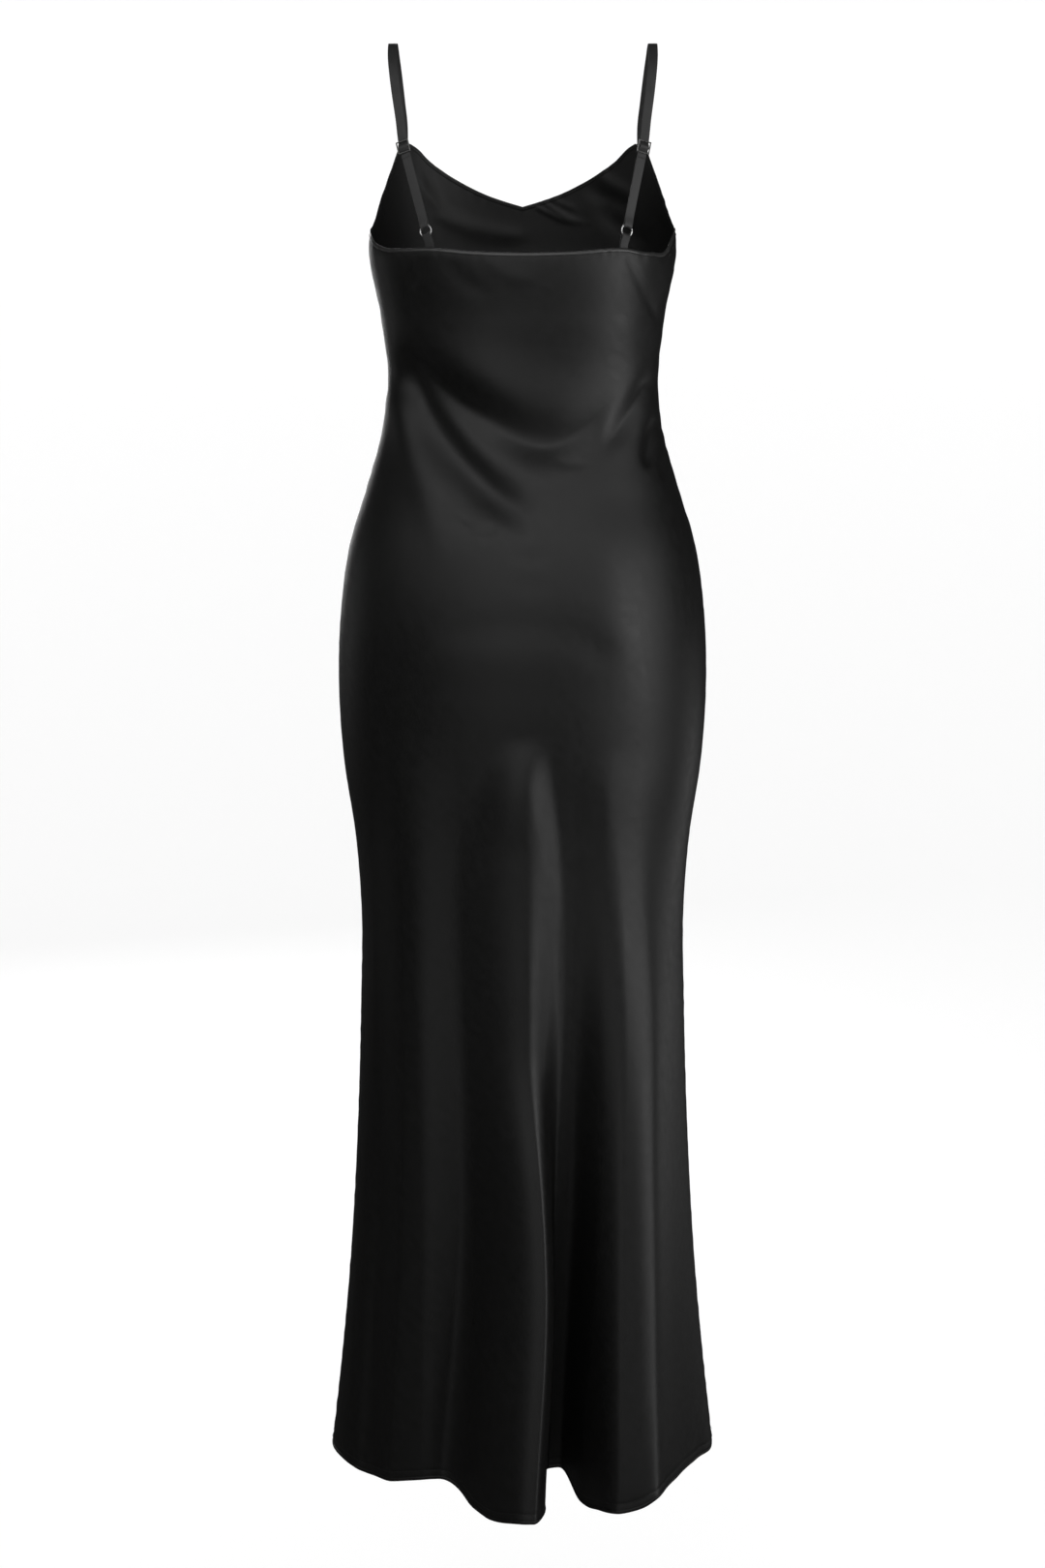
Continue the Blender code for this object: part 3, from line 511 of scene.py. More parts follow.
def crease_offset(creases, across, drop):
    """How far the creases stand out: each is a line of soft dabs, side by side, that grow
    fainter and narrower towards its two ends. A crisp one has narrower dabs on top."""
    offset = np.zeros(across.shape)
    for crease in creases:
        line = crease_line(crease)
        margin = CREASE_END * crease.reach
        low, high = line.min(axis=0) - margin, line.max(axis=0) + margin
        near = (across > low[0]) & (across < high[0]) & (drop > low[1]) & (drop < high[1])
        along = running_length(line)
        share = along / along[-1]
        fade = ramp(share, 0.0, crease.rise) * ramp(share, 1.0, 1.0 - crease.fall)
        reach = crease.reach * (1 - CREASE_TAPER + CREASE_TAPER * np.sin(math.pi * share))
        gap = np.hypot(across[near][:, None] - line[:, 0], drop[near][:, None] - line[:, 1])
        parts = [1.0 - crease.crisp] + [part * crease.crisp for part in CRISP_PARTS]
        for part, width in zip(parts, DAB_WIDTHS):
            if part:
                dab = part * fade * np.gradient(along) / (width * reach * math.sqrt(math.pi))
                offset[near] += crease.depth * (bell(gap, width * reach) @ dab)
    return offset


print("each crease is a line of", CREASE_POINTS, "dabs")

# %% What the sewing does to the cloth
CUT_WIDTH = 0.60            # of a panel midway down the skirt, about
Groove = namedtuple("Groove", "depth reach")
SEAM_GROOVE = Groove(0.5 * MM, 1.8 * MM)
HEM_GROOVE = Groove(0.25 * MM, 1.6 * MM)
TOP_LEAN = Groove(0.7 * MM, 3.5 * MM)       # of the back's edge towards the wearer
HEM_TURNING = 9.0 * MM
Pucker = namedtuple("Pucker", "height reach pitch shift")
SEAM_PUCKER = Pucker(0.35 * MM, 10 * MM, 21 * MM, 0.2)      # shifted from seam to seam
HEM_PUCKER = Pucker(0.7 * MM, 15 * MM, 37 * MM, 0.1)        # shifted from panel to panel
TOP_PUCKER = Pucker(0.25 * MM, 7 * MM, 16 * MM, 0.0)


def uneven_wave(at, pitch):
    """A ripple whose pitch and height wander, so that no two puckers are alike."""
    turn = at / pitch
    wander = np.sin(0.71 * turn + 0.9 * np.sin(0.23 * turn))
    return np.sin(2 * math.pi * turn + 2.1 * wander) * (0.6 + 0.4 * np.sin(1.7 * turn + 1.0))


def sewn_offset(side, share, drop, x, y):
    """What the sewing does to the cloth: a groove at each side seam, a stitched line above the
    hem, and small puckers along the seams, the hem and the top edge."""
    seams = [read_stack(side, np.full(drop.shape, end), drop) for end in (0.0, 1.0)]
    seam_gap = np.minimum(*[np.hypot(x - seam[..., 1], y - seam[..., 2]) for seam in seams])
    hem_gap = HEM_DROP - drop
    top_gap = drop - (back_top(share) if side == BACK else front_top(share))
    place = share * CUT_WIDTH
    offset = -SEAM_GROOVE.depth * bell(seam_gap, SEAM_GROOVE.reach)
    offset -= HEM_GROOVE.depth * bell(hem_gap - HEM_TURNING, HEM_GROOVE.reach)
    if side == BACK:
        offset -= TOP_LEAN.depth * bell(top_gap, TOP_LEAN.reach)
    for gap, pucker, along in ((seam_gap, SEAM_PUCKER, drop + SEAM_PUCKER.shift * share),
                               (hem_gap, HEM_PUCKER, place + HEM_PUCKER.shift * side),
                               (top_gap, TOP_PUCKER, place)):
        offset += pucker.height * bell(gap, pucker.reach) * uneven_wave(along, pucker.pitch)
    return offset


print("a side seam is sunk", round(SEAM_GROOVE.depth / MM, 2), "mm")

# %% How low the hem hangs
SAG_STARTS = 1.220
HEM_SAG = {                  # across, and how much lower the cloth hangs there
    BACK: ((0.192, 0.0), (0.178, -0.001), (0.150, 0.003), (0.128, 0.000), (0.110, -0.004),
           (0.088, -0.007), (0.070, -0.004), (0.059, 0.002), (0.049, 0.008), (0.040, 0.009),
           (0.030, 0.006), (0.017, 0.001), (0.000, 0.000), (-0.020, 0.000), (-0.040, 0.000),
           (-0.047, 0.005), (-0.054, 0.011), (-0.062, 0.012), (-0.072, 0.007), (-0.086, 0.002),
           (-0.100, 0.000), (-0.116, -0.005), (-0.130, -0.013), (-0.140, -0.016),
           (-0.151, -0.013), (-0.161, -0.008), (-0.172, -0.003), (-0.192, 0.0)),
    FRONT: ((0.192, 0.0), (0.130, 0.004), (0.060, -0.005), (0.000, 0.003), (-0.070, -0.004),
            (-0.130, 0.005), (-0.192, 0.0)),
}


def hem_sag(side, across, drop):
    """How much lower the cloth hangs than its drop says, near the hem."""
    knots = np.array(HEM_SAG[side])
    return smooth(-knots[:, 0], knots[:, 1], -across) * ramp(drop, SAG_STARTS, HEM_DROP)


print("the back hem hangs", round(float(hem_sag(BACK, -0.062, HEM_DROP)) / MM, 1),
      "mm low beside its centre flute")

# %% Points and normals of a patch of cloth
def grid_normals(points, side):
    """Outward unit normals of a grid of points whose columns run left to right."""
    return unit(np.cross(np.gradient(points, axis=0), np.gradient(points, axis=1))) * side


def cloth_patch(side, share, drop):
    """Points and outward normals of a panel at grids of shares and drops."""
    across, x, y = np.moveaxis(read_stack(side, share, drop), -1, 0)
    points = np.stack([x, y, -drop], axis=-1)
    folds, creases = (BACK_FOLDS, BACK_CREASES) if side == BACK else (FRONT_FOLDS, FRONT_CREASES)
    for layer in (folds, creases):
        offset = crease_offset(layer, across, drop)
        points = points + grid_normals(points, side) * offset[..., None]
    normals = grid_normals(points, side)
    points = points + normals * sewn_offset(side, share, drop, x, y)[..., None]
    points[..., 2] -= hem_sag(side, across, drop)
    return points, grid_normals(points, side)

# %% [markdown]
# ## Making a shell
#
# A grid is the right start for cloth: its rows and columns stay in the order of the weave.
# Its corners are moved onto the patch, and its UV map is given each corner's place on the
# flat cloth in metres, so that a weave drawn on it has its true scale and follows the cloth.
# Solidify then gives the wall, with a second material on the inner side, because satin is
# bright on its face and dull on its reverse.

# %% A sheet from a patch
WELD_GAP = 0.001 * MM


def lengths_along(points, axis):
    """Length along a grid's columns (axis 0) or rows (axis 1) up to each of its corners."""
    steps = np.diff(points, axis=axis, prepend=points.take([0], axis=axis))
    return np.cumsum(np.linalg.norm(steps, axis=2), axis=axis)


def flat_places(points):
    """Each corner's place on the flat cloth: along its row from the middle, and down its column."""
    along, down = lengths_along(points, 1), lengths_along(points, 0)
    along -= along[:, along.shape[1] // 2][:, None]
    return np.stack([along, -down], axis=-1)


def mesh_from(bm, name):
    """A smooth mesh from a bmesh, which is freed."""
    mesh = bpy.data.meshes.new(name)
    bm.to_mesh(mesh)
    bm.free()
    mesh.shade_smooth()
    return mesh


def sheet_mesh(name, points, tube=False):
    """A grid of faces moved onto points[row, column], with its UV map in metres. A tube's last
    column lies on its first, and the two are welded."""
    rows, columns = points.shape[0] - 1, points.shape[1] - 1
    places = flat_places(points)
    bm = bmesh.new()
    bmesh.ops.create_grid(bm, x_segments=columns, y_segments=rows, size=0.5)
    flat = bm.loops.layers.uv.new("flat")
    for vert in bm.verts:
        corner = round((0.5 - vert.co.y) * rows), round((vert.co.x + 0.5) * columns)
        vert.co = points[corner]
        for loop in vert.link_loops:
            loop[flat].uv = places[corner]
    if tube:
        bmesh.ops.remove_doubles(bm, verts=bm.verts, dist=WELD_GAP)
    return mesh_from(bm, name)


def cloth_object(name, points, wall, materials, tube=False):
    """A shell of cloth through a grid of points, which lie on its outer face."""
    piece = add_object(name, sheet_mesh(name, points, tube))
    for material in materials:
        piece.data.materials.append(material)
    shell = piece.modifiers.new("wall", "SOLIDIFY")
    shell.thickness = wall
    shell.offset = -1.0
    shell.material_offset = len(materials) - 1
    shell.material_offset_rim = 0
    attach(piece, "root")
    return piece

# %% [markdown]
# ## Satin
#
# Satin is a weave in which each thread floats over four others before it dips under one. The
# floats lie side by side and mirror the light, which is where the sheen comes from. On a
# bias-cut dress they run at 45 degrees to the centre line. The weave here is a brick pattern:
# each brick is one float, about 1.2 mm long. It is far too fine to be geometry, so it goes
# into the bump. Over it lies a slow wander, because no cloth lies perfectly flat.

# %% Node helpers
def fill(node, sockets):
    """Give a node's sockets their values, or links where a value is another node's output."""
    for socket, value in sockets.items():
        if isinstance(value, bpy.types.NodeSocket):
            node.id_data.links.new(value, node.inputs[socket])
        else:
            node.inputs[socket].default_value = value


def add_node(tree, kind, sockets, **settings):
    """A node with its settings and its sockets filled."""
    node = tree.nodes.new(kind)
    for key, value in settings.items():
        setattr(node, key, value)
    fill(node, sockets)
    return node


def new_group(name):
    """A group that takes a Place and a Turn, and puts out a Height and a Tone. With it come the
    place turned about Z and the node that takes what it puts out."""
    tree = bpy.data.node_groups.new(name, "ShaderNodeTree")
    for socket, way, kind in (("Place", "INPUT", "Vector"), ("Turn", "INPUT", "Float"),
                              ("Height", "OUTPUT", "Float"), ("Tone", "OUTPUT", "Float")):
        tree.interface.new_socket(name=socket, in_out=way, socket_type=f"NodeSocket{kind}")
    entry, end = tree.nodes.new("NodeGroupInput"), tree.nodes.new("NodeGroupOutput")
    turned = add_node(tree, "ShaderNodeVectorRotate", {
        "Vector": entry.outputs["Place"], "Angle": entry.outputs["Turn"]}, rotation_type="Z_AXIS")
    return tree, turned.outputs["Vector"], end

# %% Node groups for the weave and for the wander of the cloth
FLOAT_LENGTH, FLOAT_WIDTH, FLOAT_GAP = 1.2, 0.24, 0.045     # in millimetres
FLOAT_STEP = 0.4            # of a float's length, from one row to the next
FLOAT_SOFTNESS = 0.8        # of the edges of a float
DARKEST_FLOAT = 0.35
WANDER_STRETCH = (1.0, 1.5, 1.0)
WANDER_NOISES = {"Height": (18.0, 2.0), "Tone": (85.0, 5.0)}     # scale and detail of each


def make_weave_group():
    """Satin floats: Height is high on a float and low between floats, Tone varies by float."""
    tree, place, end = new_group("satin_floats")
    floats = add_node(tree, "ShaderNodeTexBrick", {
        "Vector": place, "Scale": 1 / MM, "Brick Width": FLOAT_LENGTH, "Row Height": FLOAT_WIDTH,
        "Mortar Size": FLOAT_GAP, "Mortar Smooth": FLOAT_SOFTNESS, "Bias": 0.0,
        "Mortar": (0, 0, 0, 1), "Color1": (*[DARKEST_FLOAT] * 3, 1), "Color2": (1, 1, 1, 1)},
        offset=FLOAT_STEP, offset_frequency=1)
    height = add_node(tree, "ShaderNodeMath", {0: 1.0, 1: floats.outputs["Fac"]}, operation="SUBTRACT")
    grey = add_node(tree, "ShaderNodeRGBToBW", {"Color": floats.outputs["Color"]})
    fill(end, {"Height": height.outputs["Value"], "Tone": grey.outputs["Val"]})
    return tree


def make_wander_group():
    """Slow unevenness: Height for the bump, Tone for colour and roughness."""
    tree, place, end = new_group("cloth_wander")
    drawn = add_node(tree, "ShaderNodeVectorMath", {0: place, 1: WANDER_STRETCH}, operation="MULTIPLY")
    for socket, (scale, detail) in WANDER_NOISES.items():
        noise = add_node(tree, "ShaderNodeTexNoise", {
            "Vector": drawn.outputs["Vector"], "Scale": scale, "Detail": detail})
        fill(end, {socket: noise.outputs["Fac"]})
    return tree


weave_group = make_weave_group()
wander_group = make_wander_group()
print("groups:", weave_group.name, wander_group.name)

# %% [markdown]
# ## The satin material
#
# Black satin has almost no colour of its own: what shows is its gloss. A soft roughness
# spreads each highlight down a fold, and a little noise in the roughness keeps it alive. The
# reverse of the cloth is the same black with a duller, rougher gloss.

# %% Materials for the cloth
BIAS = math.radians(45.0)
NOISE_LOW, NOISE_HIGH = 0.3, 0.7        # nearly all of a noise lies between these
ROUGHNESS_SPREAD = 0.03
WANDER_DEPTH, WEAVE_DEPTH = 1.0 * MM, 0.04 * MM
CLOTH_BUMP = 0.25


def new_material(name):
    """A material, its node tree and its Principled shader."""
    material = bpy.data.materials.new(name)
    material.use_nodes = True
    return material, material.node_tree, material.node_tree.nodes["Principled BSDF"]


def two_tones(tree, dark, light, noise):
    """A colour that wanders between two tones."""
    return add_node(tree, "ShaderNodeMix", {
        "A": (*dark, 1.0), "B": (*light, 1.0), "Factor": noise}, data_type="RGBA").outputs["Result"]


def uneven(tree, noise, low, high):
    """A value that wanders between low and high."""
    return add_node(tree, "ShaderNodeMapRange", {
        "Value": noise, "From Min": NOISE_LOW, "From Max": NOISE_HIGH,
        "To Min": low, "To Max": high}).outputs["Result"]


def bump(tree, height, strength, depth, below=None):
    """A normal bent by a height, and by the bump below it if there is one."""
    sockets = {"Height": height, "Strength": strength, "Distance": depth}
    if below:
        sockets["Normal"] = below
    return add_node(tree, "ShaderNodeBump", sockets).outputs["Normal"]


def satin(name, dark, light, roughness, gloss, turn):
    """A satin finish: dark and light are its two tones, turn is the angle of its floats."""
    material, tree, shader = new_material(name)
    place = add_node(tree, "ShaderNodeUVMap", {}, uv_map="flat").outputs["UV"]
    weave, wander = [add_node(tree, "ShaderNodeGroup", {"Place": place, "Turn": turn}, node_tree=group)
                     for group in (weave_group, wander_group)]
    tone = add_node(tree, "ShaderNodeMath", {
        0: weave.outputs["Tone"], 1: wander.outputs["Tone"]}, operation="MULTIPLY")
    waves = bump(tree, wander.outputs["Height"], CLOTH_BUMP, WANDER_DEPTH)
    fill(shader, {
        "Specular IOR Level": gloss,
        "Base Color": two_tones(tree, dark, light, tone.outputs["Value"]),
        "Roughness": uneven(tree, wander.outputs["Tone"], roughness - ROUGHNESS_SPREAD,
                            roughness + ROUGHNESS_SPREAD),
        "Normal": bump(tree, weave.outputs["Height"], CLOTH_BUMP, WEAVE_DEPTH, below=waves),
    })
    return material


satin_face = satin("satin_face", (0.0014, 0.0014, 0.0013), (0.0042, 0.0042, 0.0041), 0.46, 0.50, BIAS)
satin_reverse = satin("satin_reverse", (0.0035, 0.0035, 0.0034), (0.0070, 0.0070, 0.0068), 0.50, 0.40,
                      -BIAS)
# The back neck's turning is the panels' black satin with a lighter base colour: a painted highlight along
# the edge.
edge_satin_painted_highlight = satin("edge_satin_painted_highlight", (0.010, 0.010, 0.010), (0.020, 0.020, 0.019), 0.36, 0.80, BIAS)
# The straps are the same black satin, with a base colour about ten times lighter than the panels': a painted
# highlight.
strap_painted_highlight_satin = satin("strap_painted_highlight_satin", (0.016, 0.016, 0.016), (0.030, 0.030, 0.030), 0.52, 0.45, BIAS)
# The tabs are the same black satin, painted lighter than the panels and darker than the straps: a weaker
# painted highlight.
tab_painted_highlight_satin = satin("tab_painted_highlight_satin", (0.010, 0.010, 0.010), (0.020, 0.020, 0.020), 0.52, 0.40, BIAS)
print("satins:", satin_face.name, satin_reverse.name, strap_painted_highlight_satin.name, tab_painted_highlight_satin.name)

# %% [markdown]
# ## Thread and metal
#
# Thread and plated metal have no weave to show. Both get a fine noise in their tone, their
# gloss and their bump, and only the numbers differ.

# %% Materials for thread and metal
PLAIN_DETAIL = 5.0
PLAIN_BUMP = 0.4
PLAIN_SPREAD = 0.25         # of the roughness, to either side of it


def plain_finish(name, dark, light, roughness, metallic, scale, bump_depth):
    """Thread or metal: two tones, an uneven roughness and a fine bump, all from one noise."""
    material, tree, shader = new_material(name)
    place = add_node(tree, "ShaderNodeTexCoord", {}).outputs["Object"]
    noise = add_node(tree, "ShaderNodeTexNoise", {
        "Vector": place, "Scale": scale, "Detail": PLAIN_DETAIL}).outputs["Fac"]
    fill(shader, {
        "Metallic": metallic,
        "Base Color": two_tones(tree, dark, light, noise),
        "Roughness": uneven(tree, noise, roughness * (1 - PLAIN_SPREAD), roughness * (1 + PLAIN_SPREAD)),
        "Normal": bump(tree, noise, PLAIN_BUMP, bump_depth),
    })
    return material


thread = plain_finish("thread", (0.006, 0.006, 0.006), (0.020, 0.020, 0.020), 0.55, 0.0, 2500.0, 0.05 * MM)
# The ring is plated black, but its colour here is a light silver grey: a painted highlight that keeps its
# rim bright.
painted_highlight_ring_plating = plain_finish("painted_highlight_ring_plating", (0.60, 0.60, 0.60), (0.74, 0.74, 0.73), 0.30, 1.0, 900.0,
                           0.01 * MM)
slider_polish = plain_finish("slider_polish", (0.10, 0.10, 0.10), (0.17, 0.17, 0.165), 0.30, 1.0, 900.0,
                             0.01 * MM)
print("thread and metal:", thread.name, painted_highlight_ring_plating.name, slider_polish.name)

# %% [markdown]
# ## The back
#
# The back panel carries the folds that the eye goes to first: the soft roll over the waist,
# the swag under it and the two drags from the side seams. Its rows are closest where those
# folds are, and at the top and the hem, where the edge puckers. Down the skirt the folds run
# straight, so long faces do there.

# %% Rows of a panel
Zone = namedtuple("Zone", "top bottom rows")


def row_levels(zones):
    """Level of each row of a panel's mesh, top to hem."""
    levels = [zones[0].top]
    for zone in zones:
        steps = np.arange(1, zone.rows + 1) / zone.rows
        levels.extend(zone.top + (zone.bottom - zone.top) * steps)
    return np.array(levels)


def panel_drops(levels, top_drops):
    """Drop of every corner of a panel's mesh: its rows follow the top edge at the top and run
    level below the yoke."""
    fade = np.clip((YOKE_DROP - levels) / (YOKE_DROP - levels[0]), 0.0, 1.0)[:, None]
    return levels[:, None] + (top_drops[None, :] - levels[0]) * fade

# %% Make the back
CLOTH_WALL = 0.7 * MM
BACK_ZONES = (Zone(0.186, YOKE_DROP, 26), Zone(YOKE_DROP, 0.440, 62), Zone(0.440, 0.760, 52),
              Zone(0.760, 1.300, 60), Zone(1.300, 1.340, 12), Zone(1.340, HEM_DROP, 14))
BACK_COLUMNS = 212

back_shares = np.linspace(0.0, 1.0, BACK_COLUMNS + 1)
back_drops = panel_drops(row_levels(BACK_ZONES), back_top(back_shares))
back_points, back_normals = cloth_patch(BACK, np.broadcast_to(back_shares, back_drops.shape), back_drops)
back_cloth = cloth_object("back_cloth", back_points, CLOTH_WALL, (satin_face, satin_reverse))
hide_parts("back_panel")
print("back:", len(back_cloth.data.polygons), "faces before its wall")

# %% [markdown]
# ## The front
#
# The front has the V neck and the armholes, so its rows follow those edges at the top. A
# column is put on each corner of the strap points, because a corner that fell between two
# columns would be cut off.

# %% Make the front
FRONT_ZONES = (Zone(SEAM_TOP_DROP, YOKE_DROP, 54), Zone(YOKE_DROP, 0.440, 42), Zone(0.440, 0.760, 36),
               Zone(0.760, 1.300, 44), Zone(1.300, 1.340, 12), Zone(1.340, HEM_DROP, 14))
FRONT_NECK_COLUMNS = 78     # from the centre to a strap point
FRONT_POINT_COLUMNS = 4     # across a strap point
FRONT_ARM_COLUMNS = 38      # from a strap point to the side seam

point_inner, point_outer = FRONT_NECK[-1].across, ARMHOLE[0].across


def half_shares(way):
    """Shares of the front's columns from its centre to a side seam: 1 goes left, -1 right."""
    stops = [share_at(FRONT, way * across) for across in (0.0, point_inner, point_outer)]
    stops.append((1 - way) / 2)
    runs = (FRONT_NECK_COLUMNS, FRONT_POINT_COLUMNS, FRONT_ARM_COLUMNS)
    columns = [np.linspace(start, stop, count + 1)[:-1]
               for start, stop, count in zip(stops, stops[1:], runs)]
    return np.concatenate(columns + [stops[-1:]])


front_shares = np.concatenate([half_shares(1)[::-1], half_shares(-1)[1:]])
front_drops = panel_drops(row_levels(FRONT_ZONES), front_top(front_shares))
front_points, front_normals = cloth_patch(
    FRONT, np.broadcast_to(front_shares, front_drops.shape), front_drops)
front_cloth = cloth_object("front_cloth", front_points[:, ::-1], CLOTH_WALL, (satin_face, satin_reverse))
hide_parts("front_panel")
print("front:", len(front_cloth.data.polygons), "faces before its wall")

# %% [markdown]
# ## Folded edges
#
# A raw satin edge frays, so every edge is turned to the inside and stitched. The turn catches the
# light as a thin bright line along the neck, and the back neck's turning also has a lighter base
# colour than the panels, a painted highlight that brightens that line. Its cross-section is drawn
# once, as steps inward from the edge and out of the cloth, and is carried along each edge. The
# back's top and the hem have a wide turning. The V and the armholes are curved or stretch easily,
# so they have a narrow rolled one.

# %% Turn the edges
EdgeStep = namedtuple("EdgeStep", "inward out")
FOLDED_EDGE = [EdgeStep(inward * MM, out * MM) for inward, out in (
    (8.0, -1.10), (4.5, -1.20), (1.6, -1.25), (0.5, -1.20), (-0.3, -0.95), (-0.5, -0.55),
    (-0.3, -0.15), (0.2, 0.14), (0.9, 0.34), (1.8, 0.50), (2.5, 0.46), (3.2, 0.02))]
ROLLED_EDGE = [EdgeStep(inward * MM, out * MM) for inward, out in (
    (3.6, -0.78), (3.0, -0.98), (0.8, -1.00), (0.0, -0.90), (-0.35, -0.60), (-0.35, -0.20),
    (0.0, 0.12), (0.8, 0.26), (1.9, 0.24), (2.4, 0.02))]
TURNING_WALL = 0.3 * MM


def edge_frames(points, normals, edge, beside):
    """Places, inward directions and normals along an edge row, read with the row beside it."""
    heading = unit(np.gradient(points[edge], axis=0))
    inward = points[beside] - points[edge]
    inward = unit(inward - (inward * heading).sum(axis=1, keepdims=True) * heading)
    return points[edge], inward, normals[edge]


def folded_edge(name, frames, profile, material, reverse=False):
    """The turned edge along a row of frames."""
    places, inward, normals = frames
    grid = np.stack([places + inward * step.inward + normals * step.out for step in profile])
    return cloth_object(name, grid[:, ::-1] if reverse else grid, TURNING_WALL, (material,))


def part_of(frames, first, last):
    """A stretch of an edge's frames, both ends included."""
    return tuple(column[first:last + 1] for column in frames)


back_neck_frames = edge_frames(back_points, back_normals, 0, 1)
back_hem_frames = edge_frames(back_points, back_normals, -1, -2)
front_top_frames = edge_frames(front_points, front_normals, 0, 1)
front_hem_frames = edge_frames(front_points, front_normals, -1, -2)
last_column = len(front_shares) - 1
neck_start = FRONT_ARM_COLUMNS + FRONT_POINT_COLUMNS
armhole_frames = {"left": part_of(front_top_frames, 0, FRONT_ARM_COLUMNS),
                  "right": part_of(front_top_frames, last_column - FRONT_ARM_COLUMNS, last_column)}
front_neck_frames = part_of(front_top_frames, neck_start, last_column - neck_start)

back_sewn = [
    folded_edge("back_neck_edge", back_neck_frames, FOLDED_EDGE, edge_satin_painted_highlight),
    folded_edge("back_hem_edge", back_hem_frames, FOLDED_EDGE, satin_face, reverse=True),
]
front_sewn = [
    folded_edge("front_neck_edge", front_neck_frames, ROLLED_EDGE, satin_reverse, reverse=True),
    folded_edge("front_hem_edge", front_hem_frames, FOLDED_EDGE, satin_face),
]
for name, frames in armhole_frames.items():
    front_sewn.append(folded_edge(f"armhole_edge_{name}", frames, ROLLED_EDGE, satin_reverse, reverse=True))
print("folded edges:", [piece.name for piece in back_sewn + front_sewn])

# %% [markdown]
# ## Side seams
#
# Both panels end in an allowance at each side, folded together into a narrow French seam
# inside. It is one narrow strip that lies behind the seam line, from under the arm to the hem.

# %% Make the seam allowances
ALLOWANCE_SHARES = np.array([0.015, 0.009, 0.004])
ALLOWANCE_ROWS = 240
ALLOWANCE_BELOW_SEAM_TOP = 6 * MM
ALLOWANCE_ABOVE_HEM = 2 * MM
ALLOWANCE_BELOW_BACK_EDGE = 4 * MM
ALLOWANCE_BEHIND = 0.45 * MM


def seam_allowance(name, end):
    """The strip behind the side seam at one end, 0 or 1, of the panels' shares."""
    drops = np.linspace(SEAM_TOP_DROP + ALLOWANCE_BELOW_SEAM_TOP, HEM_DROP - ALLOWANCE_ABOVE_HEM,
                        ALLOWANCE_ROWS)
    shares = np.sort(np.abs(end - ALLOWANCE_SHARES))
    where = np.broadcast_to(shares, (len(drops), len(shares)))
    halves = []
    for side in ((FRONT, BACK) if end == 0 else (BACK, FRONT)):
        level = np.broadcast_to(drops[:, None], where.shape)
        if side == BACK:
            level = np.maximum(level, back_top(where) + ALLOWANCE_BELOW_BACK_EDGE)
        points, normals = cloth_patch(side, where, level)
        halves.append(points - normals * (CLOTH_WALL + ALLOWANCE_BEHIND))
    grid = np.concatenate([halves[0], halves[1][:, ::-1]], axis=1)
    return cloth_object(name, grid, TURNING_WALL, (satin_reverse,))


back_sewn.append(seam_allowance("seam_allowance_left", 0))
back_sewn.append(seam_allowance("seam_allowance_right", 1))
print("seam allowances made")

# %% [markdown]
# ## Stitches
#
# One stitch is a short capsule of thread, sunk a little into the cloth. A row repeats it at an
# even pitch along a line. The hem's row shows outside as well as inside. At the neck and the
# armholes only the turning is caught, so those rows are inside.

# %% Sew the rows
STITCH_PITCH = 3.2 * MM
STITCH_LENGTH = 2.3 * MM
STITCH_THICKNESS = 0.36 * MM
STITCH_SIDES, STITCH_RINGS = 6, 5
Row = namedtuple("Row", "inward out")       # where a row of stitches lies beside its edge
BACK_NECK_ROW = Row(6.0 * MM, -1.20 * MM)
HEM_ROW, HEM_INNER_ROW = Row(HEM_TURNING, -0.12 * MM), Row(7.0 * MM, -1.16 * MM)
ROLLED_ROW = Row(2.2 * MM, -1.04 * MM)


def sew(name, places, headings, normals, length=STITCH_LENGTH, thickness=STITCH_THICKNESS):
    """Stitches at places, each along its heading, joined into one piece."""
    bm = bmesh.new()
    for place, heading, normal in zip(places, unit(headings), unit(normals)):
        side = np.cross(normal, heading)
        turn = Matrix((heading * length / 2, side * thickness / 2, normal * thickness / 2)).transposed()
        bmesh.ops.create_uvsphere(bm, u_segments=STITCH_SIDES, v_segments=STITCH_RINGS, radius=1.0,
                                  matrix=Matrix.Translation(place) @ turn.to_4x4())
    bmesh.ops.recalc_face_normals(bm, faces=bm.faces)
    piece = add_object(name, mesh_from(bm, name))
    piece.data.materials.append(thread)
    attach(piece, "root")
    return piece


def stitch_row(name, frames, row):
    """A row of stitches beside an edge, at an even pitch along it."""
    places, inward, normals = frames
    line = places + inward * row.inward + normals * row.out
    length = running_length(line)
    at = np.arange(STITCH_PITCH, length[-1] - STITCH_PITCH, STITCH_PITCH)
    read = [np.stack([np.interp(at, length, column[:, k]) for k in range(3)], axis=1)
            for column in (line, np.gradient(line, axis=0), normals)]
    return sew(name, *read)


back_sewn += [
    stitch_row("back_neck_stitches", back_neck_frames, BACK_NECK_ROW),
    stitch_row("back_hem_stitches", back_hem_frames, HEM_ROW),
    stitch_row("back_hem_inner_stitches", back_hem_frames, HEM_INNER_ROW),
]
front_sewn += [
    stitch_row("front_neck_stitches", front_neck_frames, ROLLED_ROW),
    stitch_row("front_hem_stitches", front_hem_frames, HEM_ROW),
    stitch_row("front_hem_inner_stitches", front_hem_frames, HEM_INNER_ROW),
]
for name, frames in armhole_frames.items():
    front_sewn.append(stitch_row(f"armhole_stitches_{name}", frames, ROLLED_ROW))
print("stitches:", sum(len(piece.data.polygons) for piece in back_sewn + front_sewn), "faces")

# %% [markdown]
# ## Straps
#
# Each strap is a narrow bias tube, turned and pressed flat. It starts inside the front's strap
# point, passes over the shoulder and through the slider, goes round the ring and comes back up
# to the slider. A short tab of the same tube holds the ring to the inside of the back. One line
# carries all of it, and a frame of directions can be read at any length along that line.

